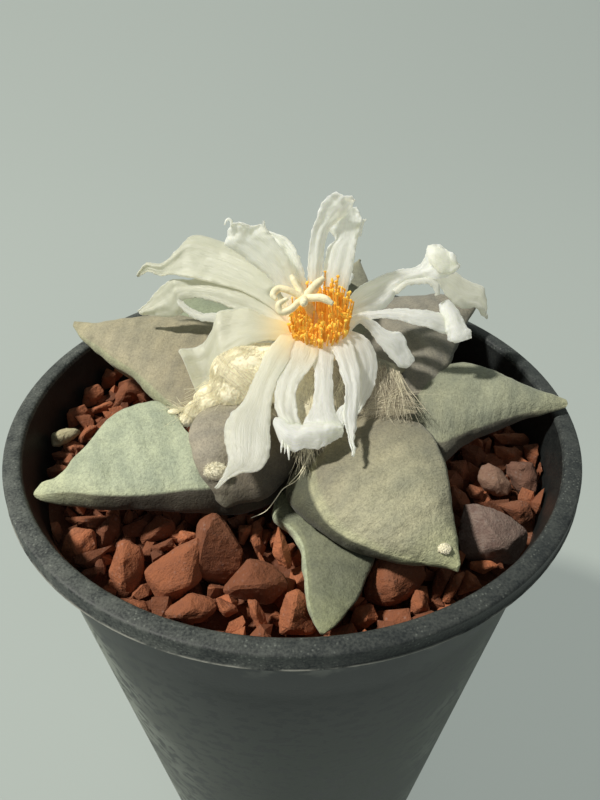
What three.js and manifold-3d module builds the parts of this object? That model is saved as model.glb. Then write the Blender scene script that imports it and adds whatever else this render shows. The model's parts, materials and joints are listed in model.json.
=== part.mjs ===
// A flowering Ariocarpus retusus in a round nursery pot, in millimetres with +Z up.
// The origin is the centre of the pot's base. Everything above the pot's floor is placed in a
// group at the level of the rim, so heights there are measured from the rim: minus is inside.
import * as THREE from 'three';
import { ConvexGeometry } from 'three/addons/geometries/ConvexGeometry.js';
import { mergeVertices } from 'three/addons/utils/BufferGeometryUtils.js';
import Module from 'manifold-3d';

const wasm = await Module();
wasm.setup();

// Pot
const POT_HEIGHT = 120;
const RIM_RADIUS = 50;
const RIM_INNER_RADIUS = 46.9;
const LIP_HEIGHT = 2.8;
const BODY_TOP_RADIUS = 47.1;
const BODY_BASE_RADIUS = 37.6;
const WALL = 1;
const FLOOR = 2;
const FOOT_HEIGHT = 2.5;
const FOOT_WIDTH = 4;
const DRAIN_HOLES = 6;
const DRAIN_RADIUS = 3.5;
const DRAIN_CIRCLE = 24;
const POT_SIDES = 48;

// Soil and grit, with heights below the rim
const CLEARANCE = 0.35;
const MIX_TOP = -15;
const GRIT_SHEET_TOP = -10.8;
const GRIT_TILT = 0.045;
const CHIP_SPACING = 7;

// Plant
const STEM_RADIUS = 13;
const ROOT_TIP = -62;

// Flower
const THROAT = [4.5, 0.8];
const THROAT_TOP = 14.6;
const THROAT_FLOOR = 9.8;
const PETAL_THICKNESS = 0.7;
const STYLE_RADIUS = 0.9;
const FILAMENT_RADIUS = 0.32;
const ANTHER_RADIUS = 0.62;

const vec = (p) => new THREE.Vector3(p[0], p[1], p[2]);
const lerp = THREE.MathUtils.lerp;
const radians = THREE.MathUtils.degToRad;

// One repeatable stream of numbers from 0 to 1
function seeded(seed) {
  let state = seed;
  return () => {
    state = (state + 0x6d2b79f5) | 0;
    let t = Math.imul(state ^ (state >>> 15), 1 | state);
    t = (t + Math.imul(t ^ (t >>> 7), 61 | t)) ^ t;
    return ((t ^ (t >>> 14)) >>> 0) / 4294967296;
  };
}

// Solids and meshes
function toSolid(geometry) {
  const bare = geometry.clone();
  bare.deleteAttribute('normal');
  bare.deleteAttribute('uv');
  const merged = mergeVertices(bare, 1e-4);
  const vertProperties = new Float32Array(merged.attributes.position.array);
  const triVerts = new Uint32Array(merged.index.array);
  const solid = new wasm.Manifold(new wasm.Mesh({ numProp: 3, vertProperties, triVerts }));
  if (solid.volume() >= 0) return solid;
  for (let i = 0; i < triVerts.length; i += 3) {
    [triVerts[i], triVerts[i + 1]] = [triVerts[i + 1], triVerts[i]];
  }
  return new wasm.Manifold(new wasm.Mesh({ numProp: 3, vertProperties, triVerts }));
}

function toGeometry(solid) {
  const mesh = solid.getMesh();
  const geometry = new THREE.BufferGeometry();
  geometry.setAttribute('position', new THREE.BufferAttribute(mesh.vertProperties, 3));
  geometry.setIndex(new THREE.BufferAttribute(mesh.triVerts, 1));
  return geometry;
}

const union = (solids) => solids.reduce((all, next) => all.add(next));

// The biggest of the bodies that a cut leaves, without its loose scraps
function largest(solid) {
  return solid.decompose().reduce((best, next) => (next.volume() > best.volume() ? next : best));
}

// A closed skin from rings of points that all have the same number of corners
function skin(rings) {
  const corners = rings[0].length;
  const positions = rings.flat().flatMap((p) => [p.x, p.y, p.z]);
  const index = [];
  for (let i = 0; i < rings.length - 1; i += 1) {
    for (let j = 0; j < corners; j += 1) {
      const a = i * corners + j;
      const b = i * corners + ((j + 1) % corners);
      index.push(a, b, b + corners, a, b + corners, a + corners);
    }
  }
  const last = (rings.length - 1) * corners;
  for (let j = 1; j < corners - 1; j += 1) {
    index.push(0, j + 1, j);
    index.push(last, last + j, last + j + 1);
  }
  const geometry = new THREE.BufferGeometry();
  geometry.setAttribute('position', new THREE.Float32BufferAttribute(positions, 3));
  geometry.setIndex(index);
  return toSolid(geometry);
}

// A closed blade from rows of points on its upper and lower face, split alike on both
function blade(tops, bottoms) {
  const columns = tops[0].length;
  const last = columns - 1;
  const end = tops.length - 1;
  const positions = [...tops, ...bottoms].flat().flatMap((p) => [p.x, p.y, p.z]);
  const top = (i, j) => i * columns + j;
  const bottom = (i, j) => (i + tops.length) * columns + j;
  const index = [];
  const quad = (a, b, c, d) => index.push(a, b, c, a, c, d);
  for (let i = 0; i < end; i += 1) {
    for (let j = 0; j < last; j += 1) {
      quad(top(i, j), top(i, j + 1), top(i + 1, j + 1), top(i + 1, j));
      quad(bottom(i, j), bottom(i + 1, j), bottom(i + 1, j + 1), bottom(i, j + 1));
    }
    quad(top(i, 0), top(i + 1, 0), bottom(i + 1, 0), bottom(i, 0));
    quad(top(i + 1, last), top(i, last), bottom(i, last), bottom(i + 1, last));
  }
  for (let j = 0; j < last; j += 1) {
    quad(top(0, j + 1), top(0, j), bottom(0, j), bottom(0, j + 1));
    quad(top(end, j), top(end, j + 1), bottom(end, j + 1), bottom(end, j));
  }
  const geometry = new THREE.BufferGeometry();
  geometry.setAttribute('position', new THREE.Float32BufferAttribute(positions, 3));
  geometry.setIndex(index);
  return toSolid(geometry);
}

// A ring of points square to a direction
function ringAt(centre, along, radius, sides) {
  const helper = Math.abs(along.z) > 0.9 ? new THREE.Vector3(1, 0, 0) : new THREE.Vector3(0, 0, 1);
  const side = new THREE.Vector3().crossVectors(along, helper).normalize();
  const up = new THREE.Vector3().crossVectors(side, along);
  return Array.from({ length: sides }, (_, j) => {
    const turn = (2 * Math.PI * j) / sides;
    return centre.clone()
      .addScaledVector(side, radius * Math.cos(turn))
      .addScaledVector(up, radius * Math.sin(turn));
  });
}

// A round tapering stalk through a few points
function stalk(points, radii, sides, steps) {
  const curve = new THREE.CatmullRomCurve3(points.map(vec));
  return skin(Array.from({ length: steps + 1 }, (_, i) => {
    const t = i / steps;
    return ringAt(curve.getPoint(t), curve.getTangent(t), lerp(radii[0], radii[1], t), sides);
  }));
}

// A straight filament from foot to tip with its anther at the end
function stamen(foot, tip) {
  const along = vec(tip).sub(vec(foot)).normalize();
  const rings = [[vec(foot), FILAMENT_RADIUS], [vec(tip).addScaledVector(along, -1.1), FILAMENT_RADIUS],
    [vec(tip), ANTHER_RADIUS], [vec(tip).addScaledVector(along, 0.6), 0.2]];
  return skin(rings.map(([centre, radius]) => ringAt(centre, along, radius, 3)));
}

function lathe(profile, sides) {
  const geometry = new THREE.LatheGeometry(profile.map(([r, z]) => new THREE.Vector2(r, z)), sides);
  geometry.rotateX(Math.PI / 2);
  return toSolid(geometry);
}

// Radius of the pot's outer wall at a height below the rim
function bodyRadius(z) {
  return lerp(BODY_BASE_RADIUS, BODY_TOP_RADIUS, (z + POT_HEIGHT) / (POT_HEIGHT - LIP_HEIGHT));
}

// Radius of its inner wall, which draws in a little more towards the floor
const WALL_FOOT = FOOT_HEIGHT + FLOOR - POT_HEIGHT;

function innerRadius(z) {
  return bodyRadius(z) - WALL - (z + 4) / (WALL_FOOT + 4);
}

function makePot() {
  const under = -LIP_HEIGHT;
  const solid = lathe([
    [0, FOOT_HEIGHT - POT_HEIGHT],
    [BODY_BASE_RADIUS - FOOT_WIDTH - 1, FOOT_HEIGHT - POT_HEIGHT],
    [BODY_BASE_RADIUS - FOOT_WIDTH, -POT_HEIGHT],
    [BODY_BASE_RADIUS - 0.5, -POT_HEIGHT],
    [BODY_BASE_RADIUS, 0.6 - POT_HEIGHT],
    [bodyRadius(under), under],
    [RIM_RADIUS, under + 0.2],
    [RIM_RADIUS, -0.6],
    [RIM_RADIUS - 0.6, 0],
    [RIM_INNER_RADIUS + 0.4, 0],
    [RIM_INNER_RADIUS, -0.5],
    [innerRadius(-4), -4],
    [innerRadius(WALL_FOOT), WALL_FOOT],
    [0, WALL_FOOT],
  ], POT_SIDES);
  const drill = new THREE.CylinderGeometry(DRAIN_RADIUS, DRAIN_RADIUS, 4 * FLOOR, 16);
  drill.rotateX(Math.PI / 2);
  drill.translate(DRAIN_CIRCLE, 0, FOOT_HEIGHT + FLOOR / 2 - POT_HEIGHT);
  const drills = Array.from({ length: DRAIN_HOLES }, (_, i) => {
    const turned = drill.clone().rotateZ((2 * Math.PI * i) / DRAIN_HOLES);
    return toSolid(turned);
  });
  return solid.subtract(union(drills));
}

// The space inside the wall between two heights, a little clear of the plastic
function insidePot(low, high) {
  const wallAt = (z) => innerRadius(z) - CLEARANCE;
  return lathe([[0, low], [wallAt(low), low], [wallAt(high), high], [0, high]], POT_SIDES);
}

// Tubercles. width is half of the widest place, reach the distance from the tip at which it is
// full, acute the sharpness of the tip, depth the keel below the ridges, crown the swell of the
// upper face, lift and sway the bow of the axis, and roll a turn about it in degrees.
const TUBERCLES = {
  leftBack: {
    base: [-3, 3, 3], tip: [-44.8, 21, 5], width: 12.2, reach: 28, acute: 0.85,
    depth: 8.5, crown: 2.8, lift: 0.4, sway: 0, roll: 4,
  },
  leftFront: {
    base: [-2, -2, 0], tip: [-39.8, -21.9, -1], width: 13, reach: 26, acute: 1.25,
    depth: 9, crown: 3, lift: 2.2, sway: -0.6, roll: -5,
  },
  frontYoung: {
    base: [0, -2, 4], tip: [-10.8, -25.2, -0.6], width: 9.2, reach: 13, acute: 0.75,
    depth: 7.5, crown: 2.6, lift: 2.6, sway: 0, roll: 0,
  },
  rightFront: {
    base: [1.5, -5, -2], tip: [22.6, -35.5, -2], width: 12.6, reach: 23, acute: 0.85,
    depth: 8.5, crown: 3.2, lift: 3.6, sway: 0, roll: 0,
  },
  frontLow: {
    base: [7, -8, -5], tip: [3.7, -42.8, -6], width: 9.6, reach: 22, acute: 0.85,
    depth: 6, crown: 1.8, lift: 0, sway: 1.6, roll: 14,
  },
  right: {
    base: [4, -1, 0], tip: [48.8, -2.9, 2], width: 10.2, reach: 31, acute: 1,
    depth: 9, crown: 2.6, lift: 2.2, sway: 0, roll: 0,
  },
  rightBack: {
    base: [3, 2, 2], tip: [38, 26, 6.5], width: 12, reach: 31, acute: 0.95,
    depth: 9, crown: 3, lift: 1, sway: 0, roll: 0,
  },
  back: {
    base: [1, 3, 3], tip: [14.8, 37, 11.5], width: 10, reach: 25, acute: 1,
    depth: 8, crown: 2.4, lift: -0.2, sway: 0, roll: 0,
  },
  backLeft: {
    base: [-1, 3, 2], tip: [-27, 34.5, 4.5], width: 10.5, reach: 26, acute: 1,
    depth: 8.5, crown: 2.6, lift: 0.6, sway: 0, roll: 0,
  },
  backLow: {
    base: [0, 5, -2], tip: [-6.5, 43, -1.5], width: 9.5, reach: 26, acute: 0.95,
    depth: 7, crown: 2, lift: 0.6, sway: 0, roll: 0,
  },
  rightYoung: {
    base: [3, 0, 5], tip: [20, 1.6, 6], width: 5.2, reach: 10, acute: 0.8,
    depth: 5.5, crown: 1.6, lift: 0.8, sway: 0, roll: 0,
  },
  frontBud: {
    base: [3, -2, 4], tip: [6.5, -13, 5], width: 4.2, reach: 8, acute: 0.8,
    depth: 5, crown: 1.4, lift: 0.6, sway: 0, roll: 0,
  },
  backYoung: {
    base: [1, 1, 5], tip: [-9, 16, 9], width: 5.4, reach: 10, acute: 0.85,
    depth: 5.5, crown: 1.6, lift: 0.6, sway: 0, roll: 0,
  },
};
const UPPER_CORNERS = [-1, -0.6, 0, 0.6, 1];
const LOWER_CORNERS = [0.86, 0.5, 0, -0.5, -0.86];
const SECTION_SPOTS = [0, 0.03, 0.1, 0.2, 0.33, 0.5, 0.72, 1];

// One tubercle, from its base in the stem to its tip, with its skin moved out by grow
function tubercle(shape, grow) {
  const base = vec(shape.base);
  const tip = vec(shape.tip);
  const along = tip.clone().sub(base).normalize();
  tip.addScaledVector(along, grow);
  const length = tip.distanceTo(base);
  const side = new THREE.Vector3().crossVectors(along, new THREE.Vector3(0, 0, 1)).normalize();
  const rise = new THREE.Vector3().crossVectors(side, along);
  const roll = radians(shape.roll);
  const across = side.clone().multiplyScalar(Math.cos(roll)).addScaledVector(rise, Math.sin(roll));
  const up = rise.clone().multiplyScalar(Math.cos(roll)).addScaledVector(side, -Math.sin(roll));
  const rings = SECTION_SPOTS.map((spot) => {
    const back = spot * length;
    const full = Math.min(1, back / shape.reach);
    const swell = Math.sin((Math.PI / 2) * full);
    const narrowing = 1 - 0.3 * Math.max(0, back / shape.reach - 1);
    const width = Math.max(0.45, shape.width * swell ** shape.acute * narrowing) + grow;
    const depth = Math.max(0.5, shape.depth * swell ** 0.8 * narrowing) + grow;
    const crown = 0.3 + shape.crown * swell ** 0.9 * narrowing + grow;
    const bow = Math.sin(Math.PI * spot);
    const centre = tip.clone()
      .addScaledVector(along, -back)
      .addScaledVector(rise, shape.lift * bow)
      .addScaledVector(side, shape.sway * bow);
    const point = (u, v) => centre.clone().addScaledVector(across, u * width).addScaledVector(up, v);
    return [
      ...UPPER_CORNERS.map((u) => point(u, crown * (1 - Math.abs(u) ** 2.2))),
      ...LOWER_CORNERS.map((u) => point(u, -depth * (1 - Math.abs(u) ** 3.4))),
    ];
  });
  return skin(rings);
}

function makeBody(grow) {
  const stem = lathe([
    [0, ROOT_TIP - grow],
    [1.4 + grow, ROOT_TIP],
    [5.5 + grow, ROOT_TIP + 22],
    [11 + grow, ROOT_TIP + 38],
    [STEM_RADIUS + grow, -12],
    [STEM_RADIUS + grow, -4],
    [8 + grow, 5],
    [0, 6.5 + grow],
  ], 24);
  const lobes = Object.values(TUBERCLES).map((shape) => tubercle(shape, grow));
  return union([stem, ...lobes]);
}

// Wool: lumps of matted hair between the tubercles, as centre and three half-sizes
const WOOL_LUMPS = [
  [[1, -1, 7.5], [9.5, 8.5, 4]],
  [[-7, 3, 8.2], [5.5, 5, 3.6]],
  [[-9.5, -2, 6.8], [5.5, 5, 3.4]],
  [[-14, -4, 5.2], [5.5, 4.2, 2.8]],
  [[-18.6, -7.4, 3.6], [3.2, 2.8, 2]],
  [[10, -4, 7.2], [5.5, 5.5, 3.2]],
  [[15.5, -6.5, 6.2], [5, 4.6, 2.4]],
  [[1.2, -12, 5.6], [3.2, 4.6, 2.6]],
  [[4, 8, 8], [6, 5, 3.6]],
];
const FRONT_TUFT = [[-11.4, -21.6, 2.9], [2, 1.7, 1.3]];
const RIGHT_TUFT = [[21.4, -33.6, 0.5], [1.1, 1, 0.9]];

// A ball of half-sizes about a centre, with its surface pushed in and out by the given share
function lump([centre, size], detail, rough, seed) {
  const geometry = new THREE.IcosahedronGeometry(1, detail);
  const position = geometry.attributes.position;
  for (let i = 0; i < position.count; i += 1) {
    const p = new THREE.Vector3().fromBufferAttribute(position, i);
    const waves = Math.sin(3.1 * p.x + 2.3 * p.y + seed) + Math.sin(3.7 * p.z + 2.9 * p.x - seed);
    p.multiplyScalar(1 + rough * waves);
    position.setXYZ(i, ...p.toArray().map((value, k) => centre[k] + value * size[k]));
  }
  return toSolid(geometry);
}

function makeWool(plant, flower) {
  const lumps = WOOL_LUMPS.map((shape, i) => lump(shape, 1, 0.07, i));
  return largest(union(lumps).subtract(plant).subtract(flower));
}

// Petals: each row is x, y, height above the rim, half width and twist in degrees; cup is the
// hollow across the petal, as a share of its half width
const PETALS = {
  farLeft: {
    cup: 0.2,
    rows: [[1.4, 3.4, 14.4, 2, 0], [-2, 8, 17, 3, -20], [-7, 12.5, 19, 4.2, -34], [-13, 15.2, 20.2, 4.9, -36],
      [-19.6, 16.8, 20.2, 4.2, -32], [-24.6, 17, 19, 2.3, -24], [-28.4, 17.8, 17.8, 0.7, -20]],
  },
  left: {
    cup: 0.2,
    rows: [[0.6, 2.2, 14.2, 2, 0], [-3.5, 7.4, 16, 2.6, -10], [-9, 9.6, 17, 3, -24], [-15, 12.2, 16.8, 3.4, -30],
      [-20.8, 14.4, 15.2, 3.8, -40], [-25.8, 14.8, 12.4, 3, -50]],
  },
  upperLeft: {
    cup: 0.3,
    rows: [[1.6, 2.6, 14.6, 1.8, 0], [0, 3.6, 20.6, 2.4, -50], [-2.8, 4.6, 24, 3.4, -62], [-6, 6, 26.8, 3.7, -64],
      [-8.2, 7, 29, 3, -60], [-8.9, 7.2, 30.6, 1.6, -60]],
  },
  upperLeftInner: {
    cup: 0.3,
    rows: [[2.6, 4, 14.8, 1.6, 0], [1.6, 4.4, 21, 1.8, -50], [0.2, 6.4, 24.4, 2.4, -62], [-1.8, 9, 26.6, 2.6, -66],
      [-4.2, 11, 27.4, 1.8, -66]],
  },
  topNarrow: {
    cup: 0.3,
    rows: [[3.6, 4.8, 14.8, 1.4, 0], [3.7, 5.6, 22, 1.5, 0], [3.7, 6.8, 26, 1.5, 0], [4.1, 7.6, 29, 1.5, 0],
      [5.6, 8, 31.8, 1.7, 0], [7.2, 7.4, 34.2, 1.8, 0], [8.4, 7, 35.4, 1.2, 0]],
  },
  topWide: {
    cup: 0.2,
    rows: [[6.4, 4.6, 14.8, 1.8, 0], [7.2, 5.4, 21, 2.1, 0], [7.7, 6.6, 24.4, 2.7, 0], [8.3, 8.2, 27.4, 3, 0],
      [9, 9.4, 30, 2.8, -10], [9.5, 9.8, 32.2, 1.9, -10]],
  },
  upperRight: {
    cup: 0.3,
    rows: [[8, 3.4, 14.8, 1.7, 0], [10.8, 6.6, 17.2, 2.4, 30], [14, 8, 18.8, 3.4, 50], [17.4, 8.6, 20.2, 3, 56],
      [20.4, 8.2, 21.4, 1.7, 56], [23.2, 8.4, 22.8, 2.1, 56], [26.4, 10, 25.3, 2.6, 56]],
  },
  upperRightCurl: {
    loose: true,
    cup: 0.6,
    rows: [[23.2, 9.6, 26.2, 1.5, 50], [25.4, 9.8, 25.4, 2.1, 50], [27.2, 10, 23.6, 2, 50], [27.8, 10.2, 21.4, 1.2, 50]],
  },
  farRight: {
    cup: 0.15,
    rows: [[8, 4, 14.4, 1.6, 0], [12, 10, 16.6, 2, 20], [17, 12.4, 17.8, 2.9, 34], [22.6, 13.4, 17.8, 3.5, 40],
      [28.2, 13.8, 16.8, 3.8, 40], [33, 13.2, 14.8, 3.4, 40], [36.2, 12.6, 12.8, 1.4, 40]],
  },
  right: {
    cup: 0.2,
    rows: [[8.6, 2, 14.4, 1.4, 0], [12.8, 4.2, 15.6, 1.2, 20], [16.8, 3.9, 16, 1.3, 40], [21, 2.7, 15.9, 1.8, 45],
      [25.2, 2.4, 15, 2.4, 45], [29, 2.9, 14.4, 2.6, 45]],
  },
  rightRoll: {
    loose: true,
    cup: 0.7,
    rows: [[26.4, 6.6, 16.4, 1.4, 20], [27.6, 4.4, 15.4, 1.8, 20], [28.8, 1.8, 14, 1.9, 20], [29.8, -0.4, 12.6, 1.6, 20]],
  },
  rightLower: {
    cup: 0.3,
    rows: [[8.8, 1, 14.2, 1.2, 0], [12, 2.8, 15.2, 1.2, 20], [14.6, 1.8, 14.4, 1.4, 30], [16.8, 0.8, 12.6, 1.9, 30],
      [18.4, -0.2, 11, 2.2, 30], [19.6, -1.4, 9.6, 1.8, 30]],
  },
  rightHook: {
    cup: 0.35,
    rows: [[8, -0.6, 14.4, 1.3, 0], [11.2, -1.8, 14.6, 1.6, 20], [12.6, -3.8, 12.4, 1.8, 20], [12.5, -6.2, 9.8, 1.7, 10],
      [11.6, -8.6, 7.9, 1.4, 0], [10.9, -10.4, 6.7, 0.6, 0]],
  },
  frontRight: {
    cup: 0.3,
    rows: [[6.6, -1.6, 14.2, 1.4, 0], [8, -3.6, 14, 1.6, 0], [9, -6.8, 11.8, 1.7, 0], [9.3, -10.6, 10.4, 1.5, 0],
      [8.9, -14.8, 9.6, 1.5, 0], [8.7, -19, 8.9, 1.1, 0], [8.7, -22.6, 7.9, 0.5, 0]],
  },
  front: {
    cup: 0.25,
    rows: [[4.8, -2.4, 14.2, 1.5, 0], [4.9, -4.8, 14.2, 1.7, 0], [5, -7.2, 12.6, 1.7, 0], [4.9, -11, 10.7, 1.7, 0],
      [4.6, -14.8, 9.4, 2.1, 0], [4.4, -18.8, 8.1, 3, 0]],
  },
  frontRoll: {
    loose: true,
    cup: 0.5,
    rows: [[-2, -16.6, 9, 1.5, 0], [0.8, -18, 8.4, 2.3, 0], [4.4, -18.2, 8.2, 2.1, 0], [7.8, -16.8, 8.4, 1, 0]],
  },
  frontLeft: {
    cup: 0.3,
    rows: [[2.6, -2, 14.2, 1.6, 0], [1.8, -4.4, 14.4, 2.2, 0], [0.7, -6.4, 12.8, 2.7, 0], [-0.8, -10.6, 11.2, 2.2, 0],
      [-1.2, -14.4, 9.8, 1.8, 0], [-0.4, -18.7, 8.2, 2, 0]],
  },
  leftFront: {
    cup: 0.25,
    rows: [[0.8, -1.2, 14.2, 1.6, 0], [-1.2, -4.2, 14.2, 1.9, -10], [-2.9, -7.6, 12.4, 2.3, -10],
      [-4.7, -11.6, 10.9, 2.7, -6], [-5.9, -15.2, 9.4, 3.5, 0], [-7, -19.6, 7.4, 4, 0], [-8.4, -23, 5.8, 3, 0],
      [-10.9, -26.6, 4.6, 0.6, 0]],
  },
  leftWide: {
    cup: 0.25,
    rows: [[0.6, 0.4, 14.2, 2, 0], [-4.4, 0.8, 14.9, 3, -20], [-8.8, 1.2, 14, 4.6, -34], [-12.6, 1.2, 12.2, 5.6, -40],
      [-15.8, 0, 10, 4.9, -40], [-18, -1.6, 8.2, 3.6, -40]],
  },
  back: {
    cup: 0.25,
    rows: [[5.4, 5.4, 14.4, 1.6, 0], [7, 12, 16.4, 2.4, 0], [8.4, 18, 16.6, 3, 0], [9.4, 23.4, 15, 2.6, 0],
      [10, 26.6, 13, 1, 0]],
  },
  backLeft: {
    cup: 0.25,
    rows: [[3, 5, 14.4, 1.6, 0], [0.6, 11.6, 17, 2.4, 0], [-2.4, 18, 18, 3, 0], [-5.4, 23, 17, 2.7, 0],
      [-7.4, 26, 15.6, 1, 0]],
  },
};
const PETAL_STEPS = 1.25;
const PETAL_COLUMNS = [-1, 0, 1];

// A thin blade along its rows, cupped across and rooted in the wall of the throat
function petal({ rows, cup, loose }, grow) {
  const [x, y, z, width0, twist0] = rows[0];
  const out = new THREE.Vector2(x - THROAT[0], y - THROAT[1]).normalize();
  const rooted = (radius, height) => [THROAT[0] + out.x * radius, THROAT[1] + out.y * radius, height];
  const all = loose ? rows : [
    [...rooted(4.6, 12.8), Math.min(width0, 1.5), twist0],
    [...rooted(5.15, z), width0, twist0],
    ...rows.slice(1),
  ];
  const curve = new THREE.CatmullRomCurve3(all.map(vec));
  const steps = Math.ceil((all.length - 1) * PETAL_STEPS);
  const half = PETAL_THICKNESS / 2 + grow;
  const tops = [];
  const bottoms = [];
  for (let i = 0; i <= steps; i += 1) {
    const t = i / steps;
    const at = t * (all.length - 1);
    const k = Math.min(Math.floor(at), all.length - 2);
    const width = lerp(all[k][3], all[k + 1][3], at - k);
    const twist = radians(lerp(all[k][4], all[k + 1][4], at - k));
    const along = curve.getTangent(t);
    const side = new THREE.Vector3(-along.y, along.x, 0);
    if (side.lengthSq() < 0.02) side.set(1, 0, 0);
    side.normalize();
    const face = new THREE.Vector3().crossVectors(along, side).normalize();
    const across = side.clone().multiplyScalar(Math.cos(twist)).addScaledVector(face, Math.sin(twist));
    const normal = new THREE.Vector3().crossVectors(along, across).normalize();
    const centre = curve.getPoint(t).addScaledVector(along, grow * ((i === steps) - (i === 0)));
    const spot = (u, offset) => centre.clone()
      .addScaledVector(across, u * (width + grow))
      .addScaledVector(normal, cup * width * (u * u - 0.4) + offset);
    tops.push(PETAL_COLUMNS.map((u) => spot(u, half)));
    bottoms.push(PETAL_COLUMNS.map((u) => spot(u, -half)));
  }
  return blade(tops, bottoms);
}

function makePetals(grow) {
  const tube = lathe([
    [0, 8 - grow],
    [3.4 + grow, 8.4 - grow],
    [3.9 + grow, 10.6],
    [5.4 + grow, 13.6],
    [5.6 + grow, THROAT_TOP + grow],
    [4.8 - grow, THROAT_TOP + grow],
    [3.3 - grow, 11.4],
    [2.6 - grow, THROAT_FLOOR + grow],
    [0, THROAT_FLOOR + grow],
  ], 16).translate([THROAT[0], THROAT[1], 0]);
  const blades = Object.values(PETALS).map((shape) => petal(shape, grow));
  return union([tube, ...blades]);
}

// Pistil: the style and the lobes of the stigma, each as points and the radius at its ends
const STIGMA = [1.8, 0, 21.1];
const STIGMA_LOBES = [
  [[STIGMA, [-0.8, 0.6, 22.2], [-2.3, 0.9, 22.3], [-3.2, 0.2, 21.7], [-2.7, -0.6, 21.1]], 0.6],
  [[STIGMA, [0.8, -0.8, 20.7], [-0.3, -1.8, 20], [-1.9, -2, 19.6], [-2.3, -1.5, 20.6]], 0.55],
  [[STIGMA, [0.7, 1.4, 22.6], [-0.3, 2.4, 24]], 0.6],
  [[STIGMA, [3.3, 1.6, 22.1], [5.1, 3.4, 23]], 0.65],
  [[STIGMA, [2.9, -0.4, 21.3], [4.7, -1, 21.6], [6.4, -1.9, 21]], 0.6],
  [[STIGMA, [1.7, -2.4, 21.3]], 0.6],
  [[STIGMA, [4.1, 2.6, 21.6]], 0.5],
];

function makePistil(grow) {
  const [x, y] = THROAT;
  const foot = THROAT_FLOOR + CLEARANCE - grow;
  const path = [[x, y, foot], [x - 0.1, y, 14], [3.4, 0.5, 17.5], STIGMA];
  const style = stalk(path, [STYLE_RADIUS + grow, STYLE_RADIUS + grow], 8, 5);
  const lobes = STIGMA_LOBES.map(([points, thick]) => (
    stalk(points, [thick + grow, 0.85 * thick + grow], 5, 2 * points.length - 2)
  ));
  return union([style, ...lobes]);
}

// Stamens: whorls of filaments on one ring, as count, anther distance from the middle of the
// throat, anther height and the rise towards the back
const WHORLS = [[16, 4.9, 16.4, 2.4], [11, 4, 17.8, 3], [7, 3, 18.8, 3.2]];

function makeStamens(flower, pistil) {
  const random = seeded(41);
  const ring = lathe([
    [1.4, 10.2], [2.2, 10.2], [3.7, 13.7], [1.4, 13.7], [1.4, 10.2],
  ], 12);
  const parts = [ring];
  WHORLS.forEach(([count, reach, height, rise], k) => {
    for (let i = 0; i < count; i += 1) {
      const turn = (2 * Math.PI * (i + 0.35 * k + 0.5 * random())) / count;
      const [c, s] = [Math.cos(turn), Math.sin(turn)];
      const z = height + rise * s + 0.8 * c + 1.2 * (random() - 0.5);
      const r = reach + 0.28 * (z - 16);
      const tip = [c * r, s * r, z];
      const foot = 3.3 - 0.4 * k;
      parts.push(stamen([c * foot, s * foot, 13.4], tip));
    }
  });
  const whole = union(parts).translate([THROAT[0], THROAT[1], 0]);
  return largest(whole.subtract(flower).subtract(pistil));
}

// Loose stones on the grit: centre, half-sizes and the turn about the upright in degrees
const STONES = {
  mauve_stone: [[30.9, -26, -6.6], [5.2, 4.2, 3.6], 40],
  pink_stone: [[34.3, -14.6, -6.8], [3, 2.9, 2.6], 0],
  brown_stone: [[40.2, -12.6, -7.4], [2.8, 3.5, 2.1], 10],
  pale_pebble: [[-40.9, 0.5, -8.2], [3.4, 1.9, 1.7], -8],
};

function makeStone([centre, size, turn], grow, seed) {
  const grown = size.map((value) => value + grow);
  return lump([[0, 0, 0], grown], 1, 0.06, seed).rotate([0, 0, turn]).translate(centre);
}

// Big chips that show in front of the plant: centre, half-sizes and turn
const BIG_CHIPS = [
  [[-10.5, -28.4, -8], [4.4, 3.6, 5.4], 20],
  [[-18.2, -29.6, -8.6], [5, 4, 4.4], 50],
  [[-25.4, -29.9, -9.4], [3.4, 3.2, 4.2], 10],
  [[-4.7, -33, -8.6], [4.8, 3.6, 3.4], 75],
  [[-2, -27.9, -8.2], [1.9, 2.2, 4.4], 5],
  [[15.8, -33.1, -8.6], [4.2, 3.2, 3.8], 30],
  [[0.8, -38.4, -9.4], [3.2, 3.2, 3.4], 60],
  [[-12.6, -36.4, -9.4], [4.4, 3, 2.8], 15],
  [[-34.6, -23.4, -10], [3.4, 2.8, 3.2], 35],
  [[-29.6, -22.6, -10], [2.6, 2.6, 3.2], 70],
  [[-22.2, -22.6, -9.4], [3.4, 2.4, 2.6], 0],
  [[21.8, -34.6, -9], [2.4, 2.6, 3.2], 80],
  [[26.4, -33, -9], [2.3, 2.4, 2.8], 25],
  [[13, -38, -10], [2.2, 2.2, 2.4], 40],
  [[7.6, -38.4, -10], [2.2, 2, 2.4], 65],
  [[-20.9, -35, -10], [3, 2.6, 2.6], 30],
  [[-7.6, -38.6, -9.6], [3, 2.4, 2.8], 10],
  [[-35.4, 16, -10], [3.2, 2.8, 2.8], 30],
  [[-42, 12.4, -10.4], [2.4, 2.6, 2.4], 10],
  [[-38.6, -6.4, -10], [3, 2.6, 2.6], 55],
  [[-40.6, 1.4, -11.4], [4, 3.6, 2.6], 20],
  [[36.4, -4.6, -7.6], [3, 2.6, 2.2], 20],
  [[28.3, -16.8, -8], [3, 2.6, 2.4], 50],
  [[41, -19.6, -8], [2.4, 2.6, 2.4], 15],
  [[42.4, -4.6, -7.8], [2.2, 2.6, 2.2], 70],
];
const CORNERS = [[1, 1, 1], [1, 1, -1], [1, -1, 1], [1, -1, -1],
  [-1, 1, 1], [-1, 1, -1], [-1, -1, 1], [-1, -1, -1]];

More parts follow.
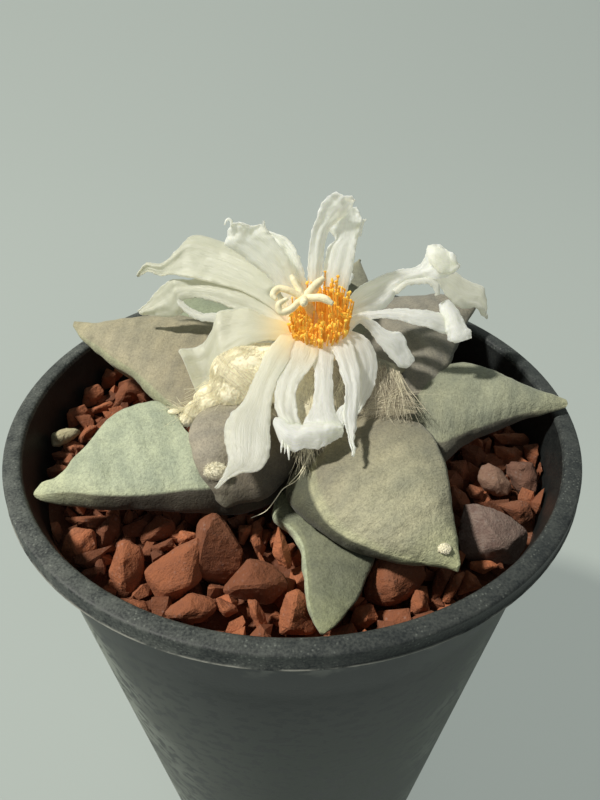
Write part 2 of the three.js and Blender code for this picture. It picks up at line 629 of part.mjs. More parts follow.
// A sharp-edged chip about a centre
function chip([centre, size, turn], random) {
  const points = CORNERS.map((corner) => {
    const p = vec(corner.map((value) => value * (0.35 + 0.6 * random())));
    return p.multiply(vec(size)).multiplyScalar(1.15);
  });
  const geometry = new ConvexGeometry(points);
  return toSolid(geometry).rotate([0, 0, turn]).translate(centre);
}

const gritLevel = (x) => GRIT_SHEET_TOP + GRIT_TILT * x;

function makeGrit(plant, stones) {
  const random = seeded(7);
  const length = Math.hypot(GRIT_TILT, 1);
  const sheet = insidePot(MIX_TOP + CLEARANCE, -7)
    .trimByPlane([GRIT_TILT / length, 0, -1 / length], -GRIT_SHEET_TOP / length);
  const chips = BIG_CHIPS.map((shape) => chip(shape, random));
  const apart = (x, y, list) => list.every(([centre]) => Math.hypot(x - centre[0], y - centre[1]) > 4.4);
  for (let row = -8; row <= 8; row += 1) {
    for (let column = -8; column <= 8; column += 1) {
      const x = CHIP_SPACING * (column + 0.5 * (row & 1) + 0.4 * (random() - 0.5));
      const y = CHIP_SPACING * (0.87 * row + 0.4 * (random() - 0.5));
      const size = [1.9, 1.9, 1.7].map((value) => value * (0.8 + 0.7 * random()));
      const turn = 360 * random();
      const sink = random();
      const r = Math.hypot(x, y);
      if (r < STEM_RADIUS + 5 || r > innerRadius(-9) - 2.2) continue;
      if (!apart(x, y, BIG_CHIPS) || !apart(x, y, Object.values(STONES))) continue;
      chips.push(chip([[x, y, gritLevel(x) + 0.8 - sink], size, turn], random));
    }
  }
  const whole = union([sheet, ...chips]).intersect(insidePot(MIX_TOP + CLEARANCE, -1));
  return largest(whole.subtract(plant).subtract(stones));
}

function makeMix(plant) {
  return largest(insidePot(WALL_FOOT + CLEARANCE, MIX_TOP).subtract(plant));
}

const pot = makePot();
const body = makeBody(0);
const plant = makeBody(0.3);
const petals = largest(makePetals(0).subtract(plant));
const flower = makePetals(0.3);
const pistil = makePistil(0);
const stamens = makeStamens(flower, makePistil(0.3));
const wool = makeWool(plant, flower);
const stones = {};
let stoneSpace = null;
Object.entries(STONES).forEach(([name, shape], i) => {
  const bare = makeStone(shape, 0, i).intersect(insidePot(MIX_TOP, -1)).subtract(plant);
  stones[name] = stoneSpace ? largest(bare.subtract(stoneSpace)) : largest(bare);
  const grown = makeStone(shape, 0.3, i);
  stoneSpace = stoneSpace ? stoneSpace.add(grown) : grown;
});
const grit = makeGrit(plant, stoneSpace);
const mix = makeMix(plant);
const closePlant = makeBody(0.12);
const frontTuft = largest(lump(FRONT_TUFT, 1, 0.08, 2).subtract(closePlant).subtract(flower));
const rightTuft = largest(lump(RIGHT_TUFT, 1, 0.06, 5).subtract(closePlant));

// name, solid, colour and roughness of every piece
const PIECES = [
  ['pot', pot, 0x33373b, 0.6],
  ['potting_mix', mix, 0x5a4536, 0.95],
  ['grit_top_dressing', grit, 0x9c5038, 0.9],
  ['mauve_stone', stones.mauve_stone, 0x7d6264, 0.8],
  ['pink_stone', stones.pink_stone, 0x9c7a6c, 0.8],
  ['brown_stone', stones.brown_stone, 0x8a5a44, 0.85],
  ['pale_pebble', stones.pale_pebble, 0xa89a80, 0.7],
  ['cactus_body', body, 0x8b9481, 0.7],
  ['crown_wool', wool, 0xe3dcbd, 1],
  ['front_areole_wool', frontTuft, 0xe6dfc0, 1],
  ['right_areole_wool', rightTuft, 0xe0d79a, 1],
  ['flower_petals', petals, 0xf4f3ec, 0.5],
  ['flower_stamens', stamens, 0xe89a1c, 0.6],
  ['flower_pistil', pistil, 0xf3ecc8, 0.5],
];

const group = new THREE.Group();
const atRim = new THREE.Group();
atRim.position.z = POT_HEIGHT;
group.add(atRim);
PIECES.forEach(([name, solid, color, roughness]) => {
  const mesh = new THREE.Mesh(toGeometry(solid), new THREE.MeshStandardMaterial({ color, roughness }));
  mesh.name = name;
  atRim.add(mesh);
});

export default group;
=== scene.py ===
"""A flowering Ariocarpus retusus in a round nursery pot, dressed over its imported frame.

Tables are in millimetres. Heights in them are measured from the rim of the pot, so that a minus
is inside it, and at_rim() turns them into the metres of the frame.
"""
import itertools
import json
import math

import bmesh
import bpy
import numpy as np
from bpy.props import FloatProperty, FloatVectorProperty, IntProperty, PointerProperty
from mathutils import Matrix, Vector, noise

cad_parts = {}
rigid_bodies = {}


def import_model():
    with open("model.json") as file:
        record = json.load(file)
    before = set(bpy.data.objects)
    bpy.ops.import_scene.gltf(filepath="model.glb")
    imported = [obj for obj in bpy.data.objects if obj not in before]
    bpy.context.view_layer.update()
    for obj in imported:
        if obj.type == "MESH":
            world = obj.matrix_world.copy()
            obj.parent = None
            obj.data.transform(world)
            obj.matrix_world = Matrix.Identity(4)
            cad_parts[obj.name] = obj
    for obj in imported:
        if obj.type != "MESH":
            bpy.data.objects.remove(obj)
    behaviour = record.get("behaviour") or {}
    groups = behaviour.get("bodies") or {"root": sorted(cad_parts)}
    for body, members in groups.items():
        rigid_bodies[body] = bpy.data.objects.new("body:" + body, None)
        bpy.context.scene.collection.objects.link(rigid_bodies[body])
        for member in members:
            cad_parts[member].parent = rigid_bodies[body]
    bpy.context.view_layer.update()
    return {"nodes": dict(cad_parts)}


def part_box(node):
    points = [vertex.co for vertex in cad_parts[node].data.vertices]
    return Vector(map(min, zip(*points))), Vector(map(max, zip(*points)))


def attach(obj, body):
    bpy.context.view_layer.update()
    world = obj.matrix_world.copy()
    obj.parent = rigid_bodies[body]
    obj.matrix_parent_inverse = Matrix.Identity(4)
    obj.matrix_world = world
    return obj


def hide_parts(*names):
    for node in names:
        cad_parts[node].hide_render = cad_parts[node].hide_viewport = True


bl_info = {
    "name": "Potted Ariocarpus retusus",
    "version": (1, 0, 0),
    "blender": (4, 5, 0),
    "location": "3D View > Sidebar > Ariocarpus",
    "description": "Builds a flowering Ariocarpus retusus in grit in a nursery pot",
    "category": "Object",
}

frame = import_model()

MM = 0.001
RIM_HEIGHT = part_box("pot")[1][2] / MM
RIM_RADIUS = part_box("pot")[1][0] / MM
RIM_INNER = 46.9
LIP = 2.8
# Outer radii of the body under the lip and at the foot, then the wall, the foot ring and the floor
BODY_TOP = 47.1
BODY_BASE = 37.6
WALL = 1.0
FOOT = 2.5
FLOOR = 2.0
# Heights of the pot's lower edge and of its floor inside
BOTTOM = -RIM_HEIGHT
INSIDE = FOOT + FLOOR - RIM_HEIGHT
# Drain holes: how many, their radius and that of the circle they stand on
DRAINS = (6, 3.5, 24)

# The camera: its place above the rim and the directions of the picture's right, up and depth
EYE = np.array((0.0, -88.03, 65.98))
RIGHT = np.array((0.99993, -0.01097, 0.00398))
UP = np.array((0.00336, 0.59709, 0.80217))
DEPTH = np.array((0.01117, 0.8021, -0.59708))
FOCAL = 600.0
PICTURE = (600, 800)


def at_rim(points):
    """Millimetres measured from the rim to the frame's metres."""
    return (np.asarray(points, float) + (0.0, 0.0, RIM_HEIGHT)) * MM


def seen(px, py, height):
    """The place at a height where the camera sees a point of the 600 by 800 picture."""
    ray = DEPTH + (px - PICTURE[0] / 2) / FOCAL * RIGHT - (py - PICTURE[1] / 2) / FOCAL * UP
    return EYE + ray * (height - EYE[2]) / ray[2]


# Settings

def colour(name, description, default):
    return FloatVectorProperty(name=name, description=description, subtype="COLOR", size=3, default=default,
                               min=0, max=1)


def length(name, description, default, low, high):
    return FloatProperty(name=name, description=description, subtype="DISTANCE", unit="LENGTH",
                         default=default, min=low, max=high)


class ARIOCARPUS_PG_pot(bpy.types.PropertyGroup):
    sides: IntProperty(name="Sides", description="Faces around the pot", default=144, min=24, max=256)
    plastic: colour("Plastic", "Colour of the moulded plastic", (0.02, 0.024, 0.026))
    dust_and_sheen: colour("Dust", "Colour of the dust on the plastic", (0.36, 0.39, 0.345))
    lime: colour("Lime", "Colour of the lime left by drops", (0.42, 0.42, 0.37))


class ARIOCARPUS_PG_grit(bpy.types.PropertyGroup):
    spacing: length("Spacing", "Distance between the small chips", 0.0034, 0.002, 0.01)
    level: length("Level", "Top of the grit, measured from the rim", -0.0106, -0.03, 0)
    clay: colour("Clay", "Colour of the broken clay", (0.36, 0.11, 0.036))
    seed: IntProperty(name="Seed", description="Lay of the small chips", default=11)


class ARIOCARPUS_PG_plant(bpy.types.PropertyGroup):
    skin: colour("Skin", "Tint over the greys and greens of the tubercles", (1.0, 1.0, 1.0))
    wool: colour("Wool", "Colour of the crown's wool", (0.97, 0.92, 0.68))
    hairs: IntProperty(name="Hairs", description="Loose hairs on the wool", default=1500, min=0, max=4000)
    hair_radius: length("Hair radius", "Half the thickness of one hair", 0.000042, 0.00002, 0.0005)


class ARIOCARPUS_PG_flower(bpy.types.PropertyGroup):
    thickness: length("Petal thickness", "Thickness of a petal", 0.00022, 0.0001, 0.001)
    petal: colour("Petal", "Colour of the petals", (0.84, 0.86, 0.7))
    anther: colour("Anther", "Colour of the anthers", (1.0, 0.47, 0.03))
    stamens: IntProperty(name="Stamens", description="How many stamens", default=420, min=10, max=500)


class ARIOCARPUS_PG_stage(bpy.types.PropertyGroup):
    floor: colour("Floor", "Colour of the floor", (0.17, 0.19, 0.175))
    key_power: FloatProperty(
        name="Key power", description="Strength of the sunny light", subtype="POWER", unit="POWER",
        default=29.0, min=0)


# Shader trees

def feed(tree, node, **inputs):
    """Sets or links inputs of a node, named with _ for each space, or with i and their place."""
    for key, value in inputs.items():
        socket = node.inputs[int(key[1:]) if key[1:].isdigit() else key.replace("_", " ")]
        if isinstance(value, bpy.types.NodeSocket):
            tree.links.new(value, socket)
        elif socket.type == "RGBA" and len(value) == 3:
            socket.default_value = (*value, 1.0)
        else:
            socket.default_value = value
    return node


def wire(tree, kind, settings=None, **inputs):
    """Adds a node with its settings and inputs."""
    node = tree.nodes.new(kind)
    for key, value in (settings or {}).items():
        setattr(node, key, value)
    return feed(tree, node, **inputs)


def blend(tree, factor, low, high, kind="MIX"):
    return wire(tree, "ShaderNodeMix", {"data_type": "RGBA", "blend_type": kind}, i0=factor, i6=low,
                i7=high).outputs[2]


def calc(tree, kind, a, b, clamp=False):
    return wire(tree, "ShaderNodeMath", {"operation": kind, "use_clamp": clamp}, i0=a, i1=b).outputs[0]


def product(tree, first, *rest):
    for factor in rest:
        first = calc(tree, "MULTIPLY", first, factor)
    return first


def ramp(tree, value, low, high, out_low=0.0, out_high=1.0):
    return wire(tree, "ShaderNodeMapRange", {"interpolation_type": "SMOOTHSTEP"}, Value=value, From_Min=low,
                From_Max=high, To_Min=out_low, To_Max=out_high).outputs[0]


def patches(tree, place, scale, detail, low, high):
    """Patches of noise that fade in between two of its values."""
    cloud = wire(tree, "ShaderNodeTexNoise", Vector=place, Scale=scale, Detail=detail).outputs[0]
    return ramp(tree, cloud, low, high)


def shader_group(name, outputs, **inputs):
    """An empty shader group from a Vector and named numbers to other numbers, and its two ends."""
    tree = bpy.data.node_groups.new(name, "ShaderNodeTree")
    tree.interface.new_socket("Vector", in_out="INPUT", socket_type="NodeSocketVector")
    for title, value in inputs.items():
        socket = tree.interface.new_socket(title.replace("_", " "), in_out="INPUT",
                                           socket_type="NodeSocketFloat")
        socket.default_value = value
    for title in outputs:
        tree.interface.new_socket(title, in_out="OUTPUT", socket_type="NodeSocketFloat")
    return tree, tree.nodes.new("NodeGroupInput").outputs, tree.nodes.new("NodeGroupOutput")


def grain_group(name):
    """Fine and coarse noise together, as a mask and a height."""
    tree, given, result = shader_group(name, ("Mask", "Height"), Coarse=200.0, Fine=1500.0, Fine_Share=0.5)
    coarse, fine = (
        wire(tree, "ShaderNodeTexNoise", Vector=given["Vector"], Scale=given[title], Detail=3.0,
             Roughness=roughness).outputs[0]
        for title, roughness in (("Coarse", 0.55), ("Fine", 0.65)))
    mixed = calc(tree, "ADD", product(tree, coarse, calc(tree, "SUBTRACT", 1.0, given["Fine Share"])),
                 product(tree, fine, given["Fine Share"]))
    feed(tree, result, Mask=ramp(tree, mixed, 0.32, 0.68), Height=mixed)
    return tree


def specks_group(name):
    """Scattered small spots, such as mineral grains and scratches."""
    tree, given, result = shader_group(name, ("Mask",), Scale=1200.0, Size=0.3, Patches=60.0)
    cells = wire(tree, "ShaderNodeTexVoronoi", Vector=given["Vector"], Scale=given["Scale"],
                 Randomness=1.0).outputs
    spot = wire(tree, "ShaderNodeMapRange", Value=cells["Distance"], From_Min=given["Size"], From_Max=0.0,
                To_Min=0.0, To_Max=1.0).outputs[0]
    chance = wire(tree, "ShaderNodeSeparateColor", Color=cells["Color"]).outputs[0]
    feed(tree, result, Mask=product(tree, spot, ramp(tree, chance, 0.45, 0.8),
                                    patches(tree, given["Vector"], given["Patches"], 2.0, 0.35, 0.65)))
    return tree


def fibres_group(name):
    """Streaks along the second axis of a UV map, as on petals and wrinkled skin."""
    tree, given, result = shader_group(name, ("Mask", "Height"), Across=16.0, Along=1.2)
    stretch = wire(tree, "ShaderNodeCombineXYZ", X=given["Across"], Y=given["Along"], Z=1.0).outputs[0]
    place = wire(tree, "ShaderNodeVectorMath", {"operation": "MULTIPLY"}, i0=given["Vector"],
                 i1=stretch).outputs[0]
    streaks = wire(tree, "ShaderNodeTexNoise", Vector=place, Scale=1.0, Detail=4.0, Roughness=0.6,
                   Distortion=0.3).outputs[0]
    feed(tree, result, Mask=ramp(tree, streaks, 0.36, 0.64), Height=streaks)
    return tree


SHARED_GROUPS = {"Grain": grain_group, "Specks": specks_group, "Fibres": fibres_group}


def use(tree, name, **inputs):
    """The outputs of a shared group, which is made when it is first used."""
    group = bpy.data.node_groups.get(name) or SHARED_GROUPS[name](name)
    return wire(tree, "ShaderNodeGroup", {"node_tree": group}, **inputs).outputs


def new_finish(name):
    """A material with its tree and its Principled shader."""
    finish = bpy.data.materials.new(name)
    finish.use_nodes = True
    return finish, finish.node_tree, finish.node_tree.nodes["Principled BSDF"]


def object_place(tree):
    return wire(tree, "ShaderNodeTexCoord").outputs["Object"]


def attribute(tree, name, output="Fac"):
    return wire(tree, "ShaderNodeAttribute", {"attribute_name": name}).outputs[output]


def relief(tree, shader, *layers):
    """Bumps on a shader in layers, each with its height, distance and strength."""
    normal = None
    for height, distance, strength in layers:
        node = wire(tree, "ShaderNodeBump", Height=height, Distance=distance, Strength=strength)
        if normal is not None:
            feed(tree, node, Normal=normal)
        normal = node.outputs[0]
    feed(tree, shader, Normal=normal)


def shade(color, times, more=0.0):
    return tuple(min(1.0, times * part + more) for part in color)


def wear_and_sheen(tree, place, grain):
    """Shares of dust with painted light and sheen, and of lime, on the outside of the pot.

    The lip is dusty and scratched, with more of the dust colour at its left as painted light. The
    wall has a film, thicker lower down, in which drops have left marks, and thicker at the sides as
    a painted sheen. Lime lies in a broken line on the lip's lower edge and in a few scuffs under it.
    """
    parts = wire(tree, "ShaderNodeSeparateXYZ", Vector=place).outputs
    across, upward = parts["X"], parts["Z"]

    def step(low, high):
        """Fades in between two heights, in millimetres from the lip's lower edge."""
        return ramp(tree, upward, (RIM_HEIGHT - LIP + low) * MM, (RIM_HEIGHT - LIP + high) * MM)

    lip = step(-0.15, 0.15)
    scratches = use(tree, "Specks", Vector=place, Scale=2300.0, Size=0.42, Patches=150.0)["Mask"]
    # On the lip the dust colour grows towards the left: painted light where the light grazes the rim.
    lip_dust_and_light = calc(tree, "ADD", product(tree, grain["Mask"], ramp(tree, across, 0.02, -0.046, 0.13, 0.34)),
                  product(tree, scratches, 0.45))
    flat = wire(tree, "ShaderNodeMapping", Vector=place, Rotation=(0.35, 0.2, 0),
                Scale=(1.0, 1.0, 1.4)).outputs[0]
    drops = patches(tree, flat, 400.0, 2.0, 0.53, 0.57)
    cloud = patches(tree, place, 42.0, 2.0, 0.3, 0.66)
    # The film is thicker at both sides: a painted sheen on the flanks of the pot.
    side = calc(tree, "ADD", ramp(tree, across, -0.01, -0.037), ramp(tree, across, 0.012, 0.037, 0.0, 0.65))
    film_and_sheen = calc(tree, "ADD", product(tree, side, calc(tree, "ADD", cloud, 0.35), 0.55),
                product(tree, step(-6, -48), 0.24))
    film_and_sheen = product(tree, film_and_sheen, calc(tree, "SUBTRACT", 1.0, product(tree, drops, 0.8)))
    dust_and_sheen = wire(tree, "ShaderNodeMix", {"data_type": "FLOAT"}, i0=lip, i2=film_and_sheen, i3=lip_dust_and_light).outputs[0]
    edge = calc(tree, "SUBTRACT", step(-0.1, 0), step(0.2, 0.34))
    line = product(tree, edge, patches(tree, place, 260.0, 3.0, 0.36, 0.62), 0.75)
    scuffs = product(tree, patches(tree, flat, 210.0, 4.0, 0.56, 0.7), step(-11, -2),
                     calc(tree, "SUBTRACT", 1.0, lip), 0.4)
    return dust_and_sheen, calc(tree, "ADD", line, scuffs, True)


def plastic_finish(name, pot, worn_with_sheen):
    """Moulded plastic, worn with a painted sheen outside, clean and darker inside as painted shade."""
    finish, tree, shader = new_finish(name)
    place = object_place(tree)
    grain = use(tree, "Grain", Vector=place, Coarse=420.0, Fine=2600.0, Fine_Share=0.6)
    if worn_with_sheen:
        dust_and_sheen, lime = wear_and_sheen(tree, place, grain)
        color = blend(tree, lime, blend(tree, dust_and_sheen, pot.plastic, pot.dust_and_sheen), pot.lime)
    else:
        dust_and_sheen = product(tree, grain["Mask"], 0.04)
        # The inside's plastic is darkened as painted shade.
        color = blend(tree, dust_and_sheen, shade(pot.plastic, 0.4), pot.dust_and_sheen)
    feed(tree, shader, Base_Color=color, Roughness=ramp(tree, dust_and_sheen, 0.0, 0.4, 0.46, 0.78),
         Specular_IOR_Level=0.25)
    relief(tree, shader, (grain["Height"], 0.00012, 0.5))
    return finish


def clay_finish(name, clay, dull, contrast):
    """Broken clay or stone, with a tone of its own for each chip."""
    finish, tree, shader = new_finish(name)
    place = object_place(tree)
    grain = use(tree, "Grain", Vector=place, Coarse=650.0, Fine=3200.0, Fine_Share=0.5)
    specks = use(tree, "Specks", Vector=place, Scale=1500.0, Size=0.45, Patches=200.0)["Mask"]
    faded = tuple(0.6 * part + more for part, more in zip(clay, (0.1, 0.07, 0.05)))
    color = blend(tree, product(tree, attribute(tree, "tone"), 0.92), shade(clay, 0.32),
                  shade(clay, 1.6, 0.03))
    color = blend(tree, product(tree, patches(tree, place, 95.0, 1.0, 0.55, 0.66), 0.5), color, faded)
    color = blend(tree, product(tree, grain["Mask"], contrast), color, dull)
    color = blend(tree, product(tree, specks, 0.4), color, shade(clay, 0.5, 0.25))
    feed(tree, shader, Base_Color=color, Roughness=0.88)
    relief(tree, shader, (grain["Height"], 0.00045, 0.9))
    return finish


def skin_finish():
    """Waxy grey skin: its colours come from the piece, with painted shade and light in some of them,
    and the fine felted mottling from here.
    """
    finish, tree, shader = new_finish("tubercle_skin")
    place = object_place(tree)
    base = attribute(tree, "skin", "Color")
    felt = use(tree, "Grain", Vector=place, Coarse=650.0, Fine=1700.0, Fine_Share=0.6)
    fine = use(tree, "Grain", Vector=place, Coarse=2100.0, Fine=4200.0, Fine_Share=0.45)
    wrinkles = use(tree, "Fibres", Vector=wire(tree, "ShaderNodeUVMap", {"uv_map": "UVMap"}).outputs[0],
                   Across=1.3, Along=1.9)
    color = blend(tree, felt["Mask"], blend(tree, 1.0, base, (0.77, 0.77, 0.75), "MULTIPLY"), base)
    pale = blend(tree, 1.0, base, (1.5, 1.5, 1.4), "MULTIPLY")
    color = blend(tree, product(tree, fine["Mask"], 0.6), color, pale)
    feed(tree, shader, Base_Color=color, Roughness=0.72, Sheen_Weight=0.12)
    relief(tree, shader, (felt["Height"], 0.0003, 0.6), (wrinkles["Height"], 0.0005, 0.3),
           (fine["Height"], 0.00016, 0.8))
    return finish


def petal_finish(flower):
    """Silky white petal: lengthwise streaks, a peach base and a thin body that light passes."""
    finish, tree, shader = new_finish("silky_petal")
    spot = wire(tree, "ShaderNodeUVMap", {"uv_map": "UVMap"}).outputs[0]
    along = attribute(tree, "along")
    tone = attribute(tree, "tone")
    veins = use(tree, "Fibres", Vector=spot, Across=5.0, Along=2.2)
    fine = use(tree, "Fibres", Vector=spot, Across=42.0, Along=2.2)
    color = blend(tree, product(tree, veins["Mask"], 0.5), flower.petal, (0.62, 0.63, 0.5))
    color = blend(tree, product(tree, fine["Mask"], 0.45), color, (0.97, 0.98, 0.88))
    # The tone paints shade: it darkens the petal towards grey-green and strengthens the peach base.
    color = blend(tree, product(tree, tone, 0.8), color, (0.45, 0.45, 0.31))
    peach = calc(tree, "MULTIPLY", ramp(tree, along, 0.46, 0.12, 0.0, 0.8), calc(tree, "ADD", 0.3, tone),
                 True)
    color = blend(tree, peach, color, (0.88, 0.58, 0.22))
    # The emission is painted light: a glow that stands in for light through the petal.
    feed(tree, shader, Base_Color=color, Emission_Color=color, Emission_Strength=0.19, Roughness=0.42,
         Subsurface_Weight=0.85, Subsurface_Radius=(1.0, 0.95, 0.75), Subsurface_Scale=0.0022,
         Sheen_Weight=0.25)
    relief(tree, shader, (veins["Height"], 0.0004, 0.4), (fine["Height"], 0.00016, 0.7))
    return finish


def soft_finish(name, low, high, roughness, spread, glow):
    """A soft finish that glows a little, its two colours mixed by the tone of each hair or stalk."""
    finish, tree, shader = new_finish(name)
    felt = wire(tree, "ShaderNodeTexNoise", Vector=object_place(tree), Scale=spread, Detail=6.0,
                Roughness=0.7, Distortion=0.8).outputs[0]
    color = blend(tree, attribute(tree, "tone"), low, high)
    color = blend(tree, ramp(tree, felt, 0.6, 0.36, 0.0, 0.45), color,
                  blend(tree, 1.0, color, (0.6, 0.55, 0.45), "MULTIPLY"))
    feed(tree, shader, Base_Color=color, Emission_Color=color, Emission_Strength=glow, Roughness=roughness)
    relief(tree, shader, (felt, 0.00014, 0.7))
    return finish


# Meshes

def placed(name, data):
    """An object of the scene for a mesh, a light or a camera."""
    piece = bpy.data.objects.new(name, data)
    bpy.context.scene.collection.objects.link(piece)
    return piece


def mesh_object(name, points, faces, finishes, uv=None, values=None, smooth=True, looks=None):
    """A piece from points in millimetres above the rim, with values given for every point."""
    mesh = bpy.data.meshes.new(name)
    mesh.from_pydata(at_rim(points).tolist(), [], [tuple(int(i) for i in face) for face in faces])
    mesh.polygons.foreach_set("use_smooth", [smooth] * len(mesh.polygons))
    if looks is not None:
        mesh.polygons.foreach_set("material_index", list(looks))
    if uv is not None:
        corners = np.empty(len(mesh.loops), int)
        mesh.loops.foreach_get("vertex_index", corners)
        layer = mesh.uv_layers.new(name="UVMap")
        layer.data.foreach_set("uv", np.asarray(uv, float)[corners].ravel())
    for title, data in (values or {}).items():
        data = np.asarray(data, float)
        if data.ndim == 2:
            data = np.concatenate([data, np.ones((len(data), 1))], 1)
            mesh.attributes.new(title, "FLOAT_COLOR", "POINT").data.foreach_set("color", data.ravel())
        else:
            mesh.attributes.new(title, "FLOAT", "POINT").data.foreach_set("value", data)
    for finish in finishes:
        mesh.materials.append(finish)
    mesh.update()
    return placed(name, mesh)


class Build:
    """Collects the points, faces and values of several forms for one piece."""

    def __init__(self):
        self.points, self.faces, self.uv, self.values, self.count = [], [], [], {}, 0

    def add(self, points, faces, uv=None, **values):
        points = np.asarray(points, float).reshape(-1, 3)
        self.points.append(points)
        self.faces.extend([tuple(i + self.count for i in face) for face in faces])
        self.uv.append(np.zeros((len(points), 2)) if uv is None else np.asarray(uv, float).reshape(-1, 2))
        for title, data in values.items():
            data = np.asarray(data, float)
            if data.ndim == 0:
                data = np.full(len(points), float(data))
            self.values.setdefault(title, []).append(data)
        self.count += len(points)

    def piece(self, name, finishes, smooth=True):
        values = {title: np.concatenate(data) for title, data in self.values.items()}
        return mesh_object(name, np.concatenate(self.points), self.faces, finishes, np.concatenate(self.uv),
                           values, smooth)


def tube_faces(rings, corners):
    """Faces of a skin over rings of points, with the ends closed."""
    faces = []
    for i in range(rings - 1):
        for j in range(corners):
            a, b = i * corners + j, i * corners + (j + 1) % corners
            faces.append((a, b, b + corners, a + corners))
    faces.append(tuple(reversed(range(corners))))
    faces.append(tuple(range((rings - 1) * corners, rings * corners)))
    return faces


def lathe(profile, sides):
    """Points and faces of a turned form whose profile may start and end on the axis."""
    turns = np.arange(sides) * 2 * math.pi / sides
    points, rows = [], []
    for r, z in profile:
        if r < 1e-6:
            rows.append([len(points)])
            points.append((0, 0, z))
        else:
            rows.append(list(range(len(points), len(points) + sides)))
            points.extend(zip(r * np.cos(turns), r * np.sin(turns), np.full(sides, z)))
    faces = []
    for low, high in zip(rows, rows[1:]):
        for j in range(sides):
            k = (j + 1) % sides
            if len(low) == 1:
                faces.append((low[0], high[k], high[j]))
            elif len(high) == 1:
                faces.append((low[j], low[k], high[0]))
            else:
                faces.append((low[j], low[k], high[k], high[j]))
    return np.array(points), faces


def curve(points, times):
    """A centripetal curve through points, read at times from 0 to 1."""
    p = np.asarray(points, float)
    p = np.vstack([2 * p[0] - p[1], p, 2 * p[-1] - p[-2]])
    at = np.clip(np.asarray(times, float), 0, 1) * (len(p) - 3)
    k = np.minimum(at.astype(int), len(p) - 4)
    w = (at - k)[:, None]
    gaps = np.maximum(np.linalg.norm(np.diff(p[:, :3], axis=0), axis=1) ** 0.5, 1e-4)
    a, b, c = gaps[k][:, None], gaps[k + 1][:, None], gaps[k + 2][:, None]
    p0, p1, p2, p3 = p[k], p[k + 1], p[k + 2], p[k + 3]
    m1 = ((p1 - p0) / a - (p2 - p0) / (a + b) + (p2 - p1) / b) * b
    m2 = ((p2 - p1) / b - (p3 - p1) / (b + c) + (p3 - p2) / c) * b
    return p1 + m1 * w + (-3 * p1 + 3 * p2 - 2 * m1 - m2) * w ** 2 + (2 * p1 - 2 * p2 + m1 + m2) * w ** 3


def unit(v):
    v = np.asarray(v, float)
    return v / np.maximum(np.linalg.norm(v, axis=-1, keepdims=True), 1e-9)


def ripple(points, scale, seed):
    """Smooth noise from -1 to 1 at each point."""
    move = Vector((seed * 17.3, seed * 5.1, -seed * 9.7))
    return np.array([noise.noise(Vector(p) * scale + move) for p in np.asarray(points, float)])


def stalk(points, radii, sides, steps):
    """Rings of a round stalk along a curve."""
    times = np.linspace(0, 1, steps + 1)
    centre = curve(points, times)
    along = unit(np.gradient(centre, axis=0))
    helper = np.where(np.abs(along[:, 2:]) > 0.9, (1.0, 0, 0), (0, 0, 1.0))
    side = unit(np.cross(along, helper))
    up = np.cross(side, along)
    radius = np.interp(times, np.linspace(0, 1, len(radii)), radii)
    turn = np.arange(sides) * 2 * math.pi / sides
    rings = (centre[:, None] + radius[:, None, None]
             * (side[:, None] * np.cos(turn)[:, None] + up[:, None] * np.sin(turn)[:, None]))
    return rings.reshape(-1, 3), tube_faces(steps + 1, sides)


# Geometry Nodes

def nodes_tree(name, **inputs):
    """An empty Geometry Nodes tree whose named inputs stand beside the geometry, and its two ends."""
    tree = bpy.data.node_groups.new(name, "GeometryNodeTree")
    tree.is_modifier = True
    tree.interface.new_socket("Geometry", in_out="INPUT", socket_type="NodeSocketGeometry")
    ids = {title: tree.interface.new_socket(title, in_out="INPUT", socket_type="NodeSocket" + kind).identifier
           for title, kind in inputs.items()}
    tree.interface.new_socket("Geometry", in_out="OUTPUT", socket_type="NodeSocketGeometry")
    return tree, ids, tree.nodes.new("NodeGroupInput").outputs, tree.nodes.new("NodeGroupOutput")


def named(tree, name, kind):
    return wire(tree, "GeometryNodeInputNamedAttribute", {"data_type": kind}, Name=name).outputs[0]


def give_back(tree, result, geometry, finish):
    """Ends a tree with its geometry made real and in one finish."""
    real = wire(tree, "GeometryNodeRealizeInstances", Geometry=geometry).outputs[0]
    dressed = wire(tree, "GeometryNodeSetMaterial", Geometry=real, Material=finish).outputs[0]
    feed(tree, result, Geometry=dressed)


def scatter_tree():
    """Places one of a collection's pieces on each point, by its kind, turn and size."""
    tree, ids, given, result = nodes_tree("scatter_pieces", Pieces="Collection", Scale="Float",
                                          Finish="Material")
    pieces = wire(tree, "GeometryNodeCollectionInfo", Collection=given["Pieces"], Separate_Children=True,
                  Reset_Children=True).outputs[0]
    scaled = wire(tree, "ShaderNodeVectorMath", {"operation": "SCALE"},
                  i0=named(tree, "size", "FLOAT_VECTOR"), Scale=given["Scale"]).outputs[0]
    chips = wire(tree, "GeometryNodeInstanceOnPoints", Points=given["Geometry"], Instance=pieces,
                 Pick_Instance=True, Instance_Index=named(tree, "kind", "INT"),
                 Rotation=named(tree, "turn", "FLOAT_VECTOR"), Scale=scaled).outputs[0]
    give_back(tree, result, chips, given["Finish"])
    return tree, ids


def strands_tree():
    """Turns every line of edges into a thin round strand that follows its own thickness."""
    tree, ids, given, result = nodes_tree("strands", Radius="Float", Sides="Int", Finish="Material")
    lines = wire(tree, "GeometryNodeMeshToCurve", Mesh=given["Geometry"]).outputs[0]
    radius = product(tree, named(tree, "thick", "FLOAT"), given["Radius"])
    ring = wire(tree, "GeometryNodeCurvePrimitiveCircle", Resolution=given["Sides"], Radius=1.0).outputs[0]
    solid = wire(tree, "GeometryNodeCurveToMesh", Curve=lines, Profile_Curve=ring, Scale=radius,
                 Fill_Caps=True).outputs[0]
    give_back(tree, result, solid, given["Finish"])
    return tree, ids


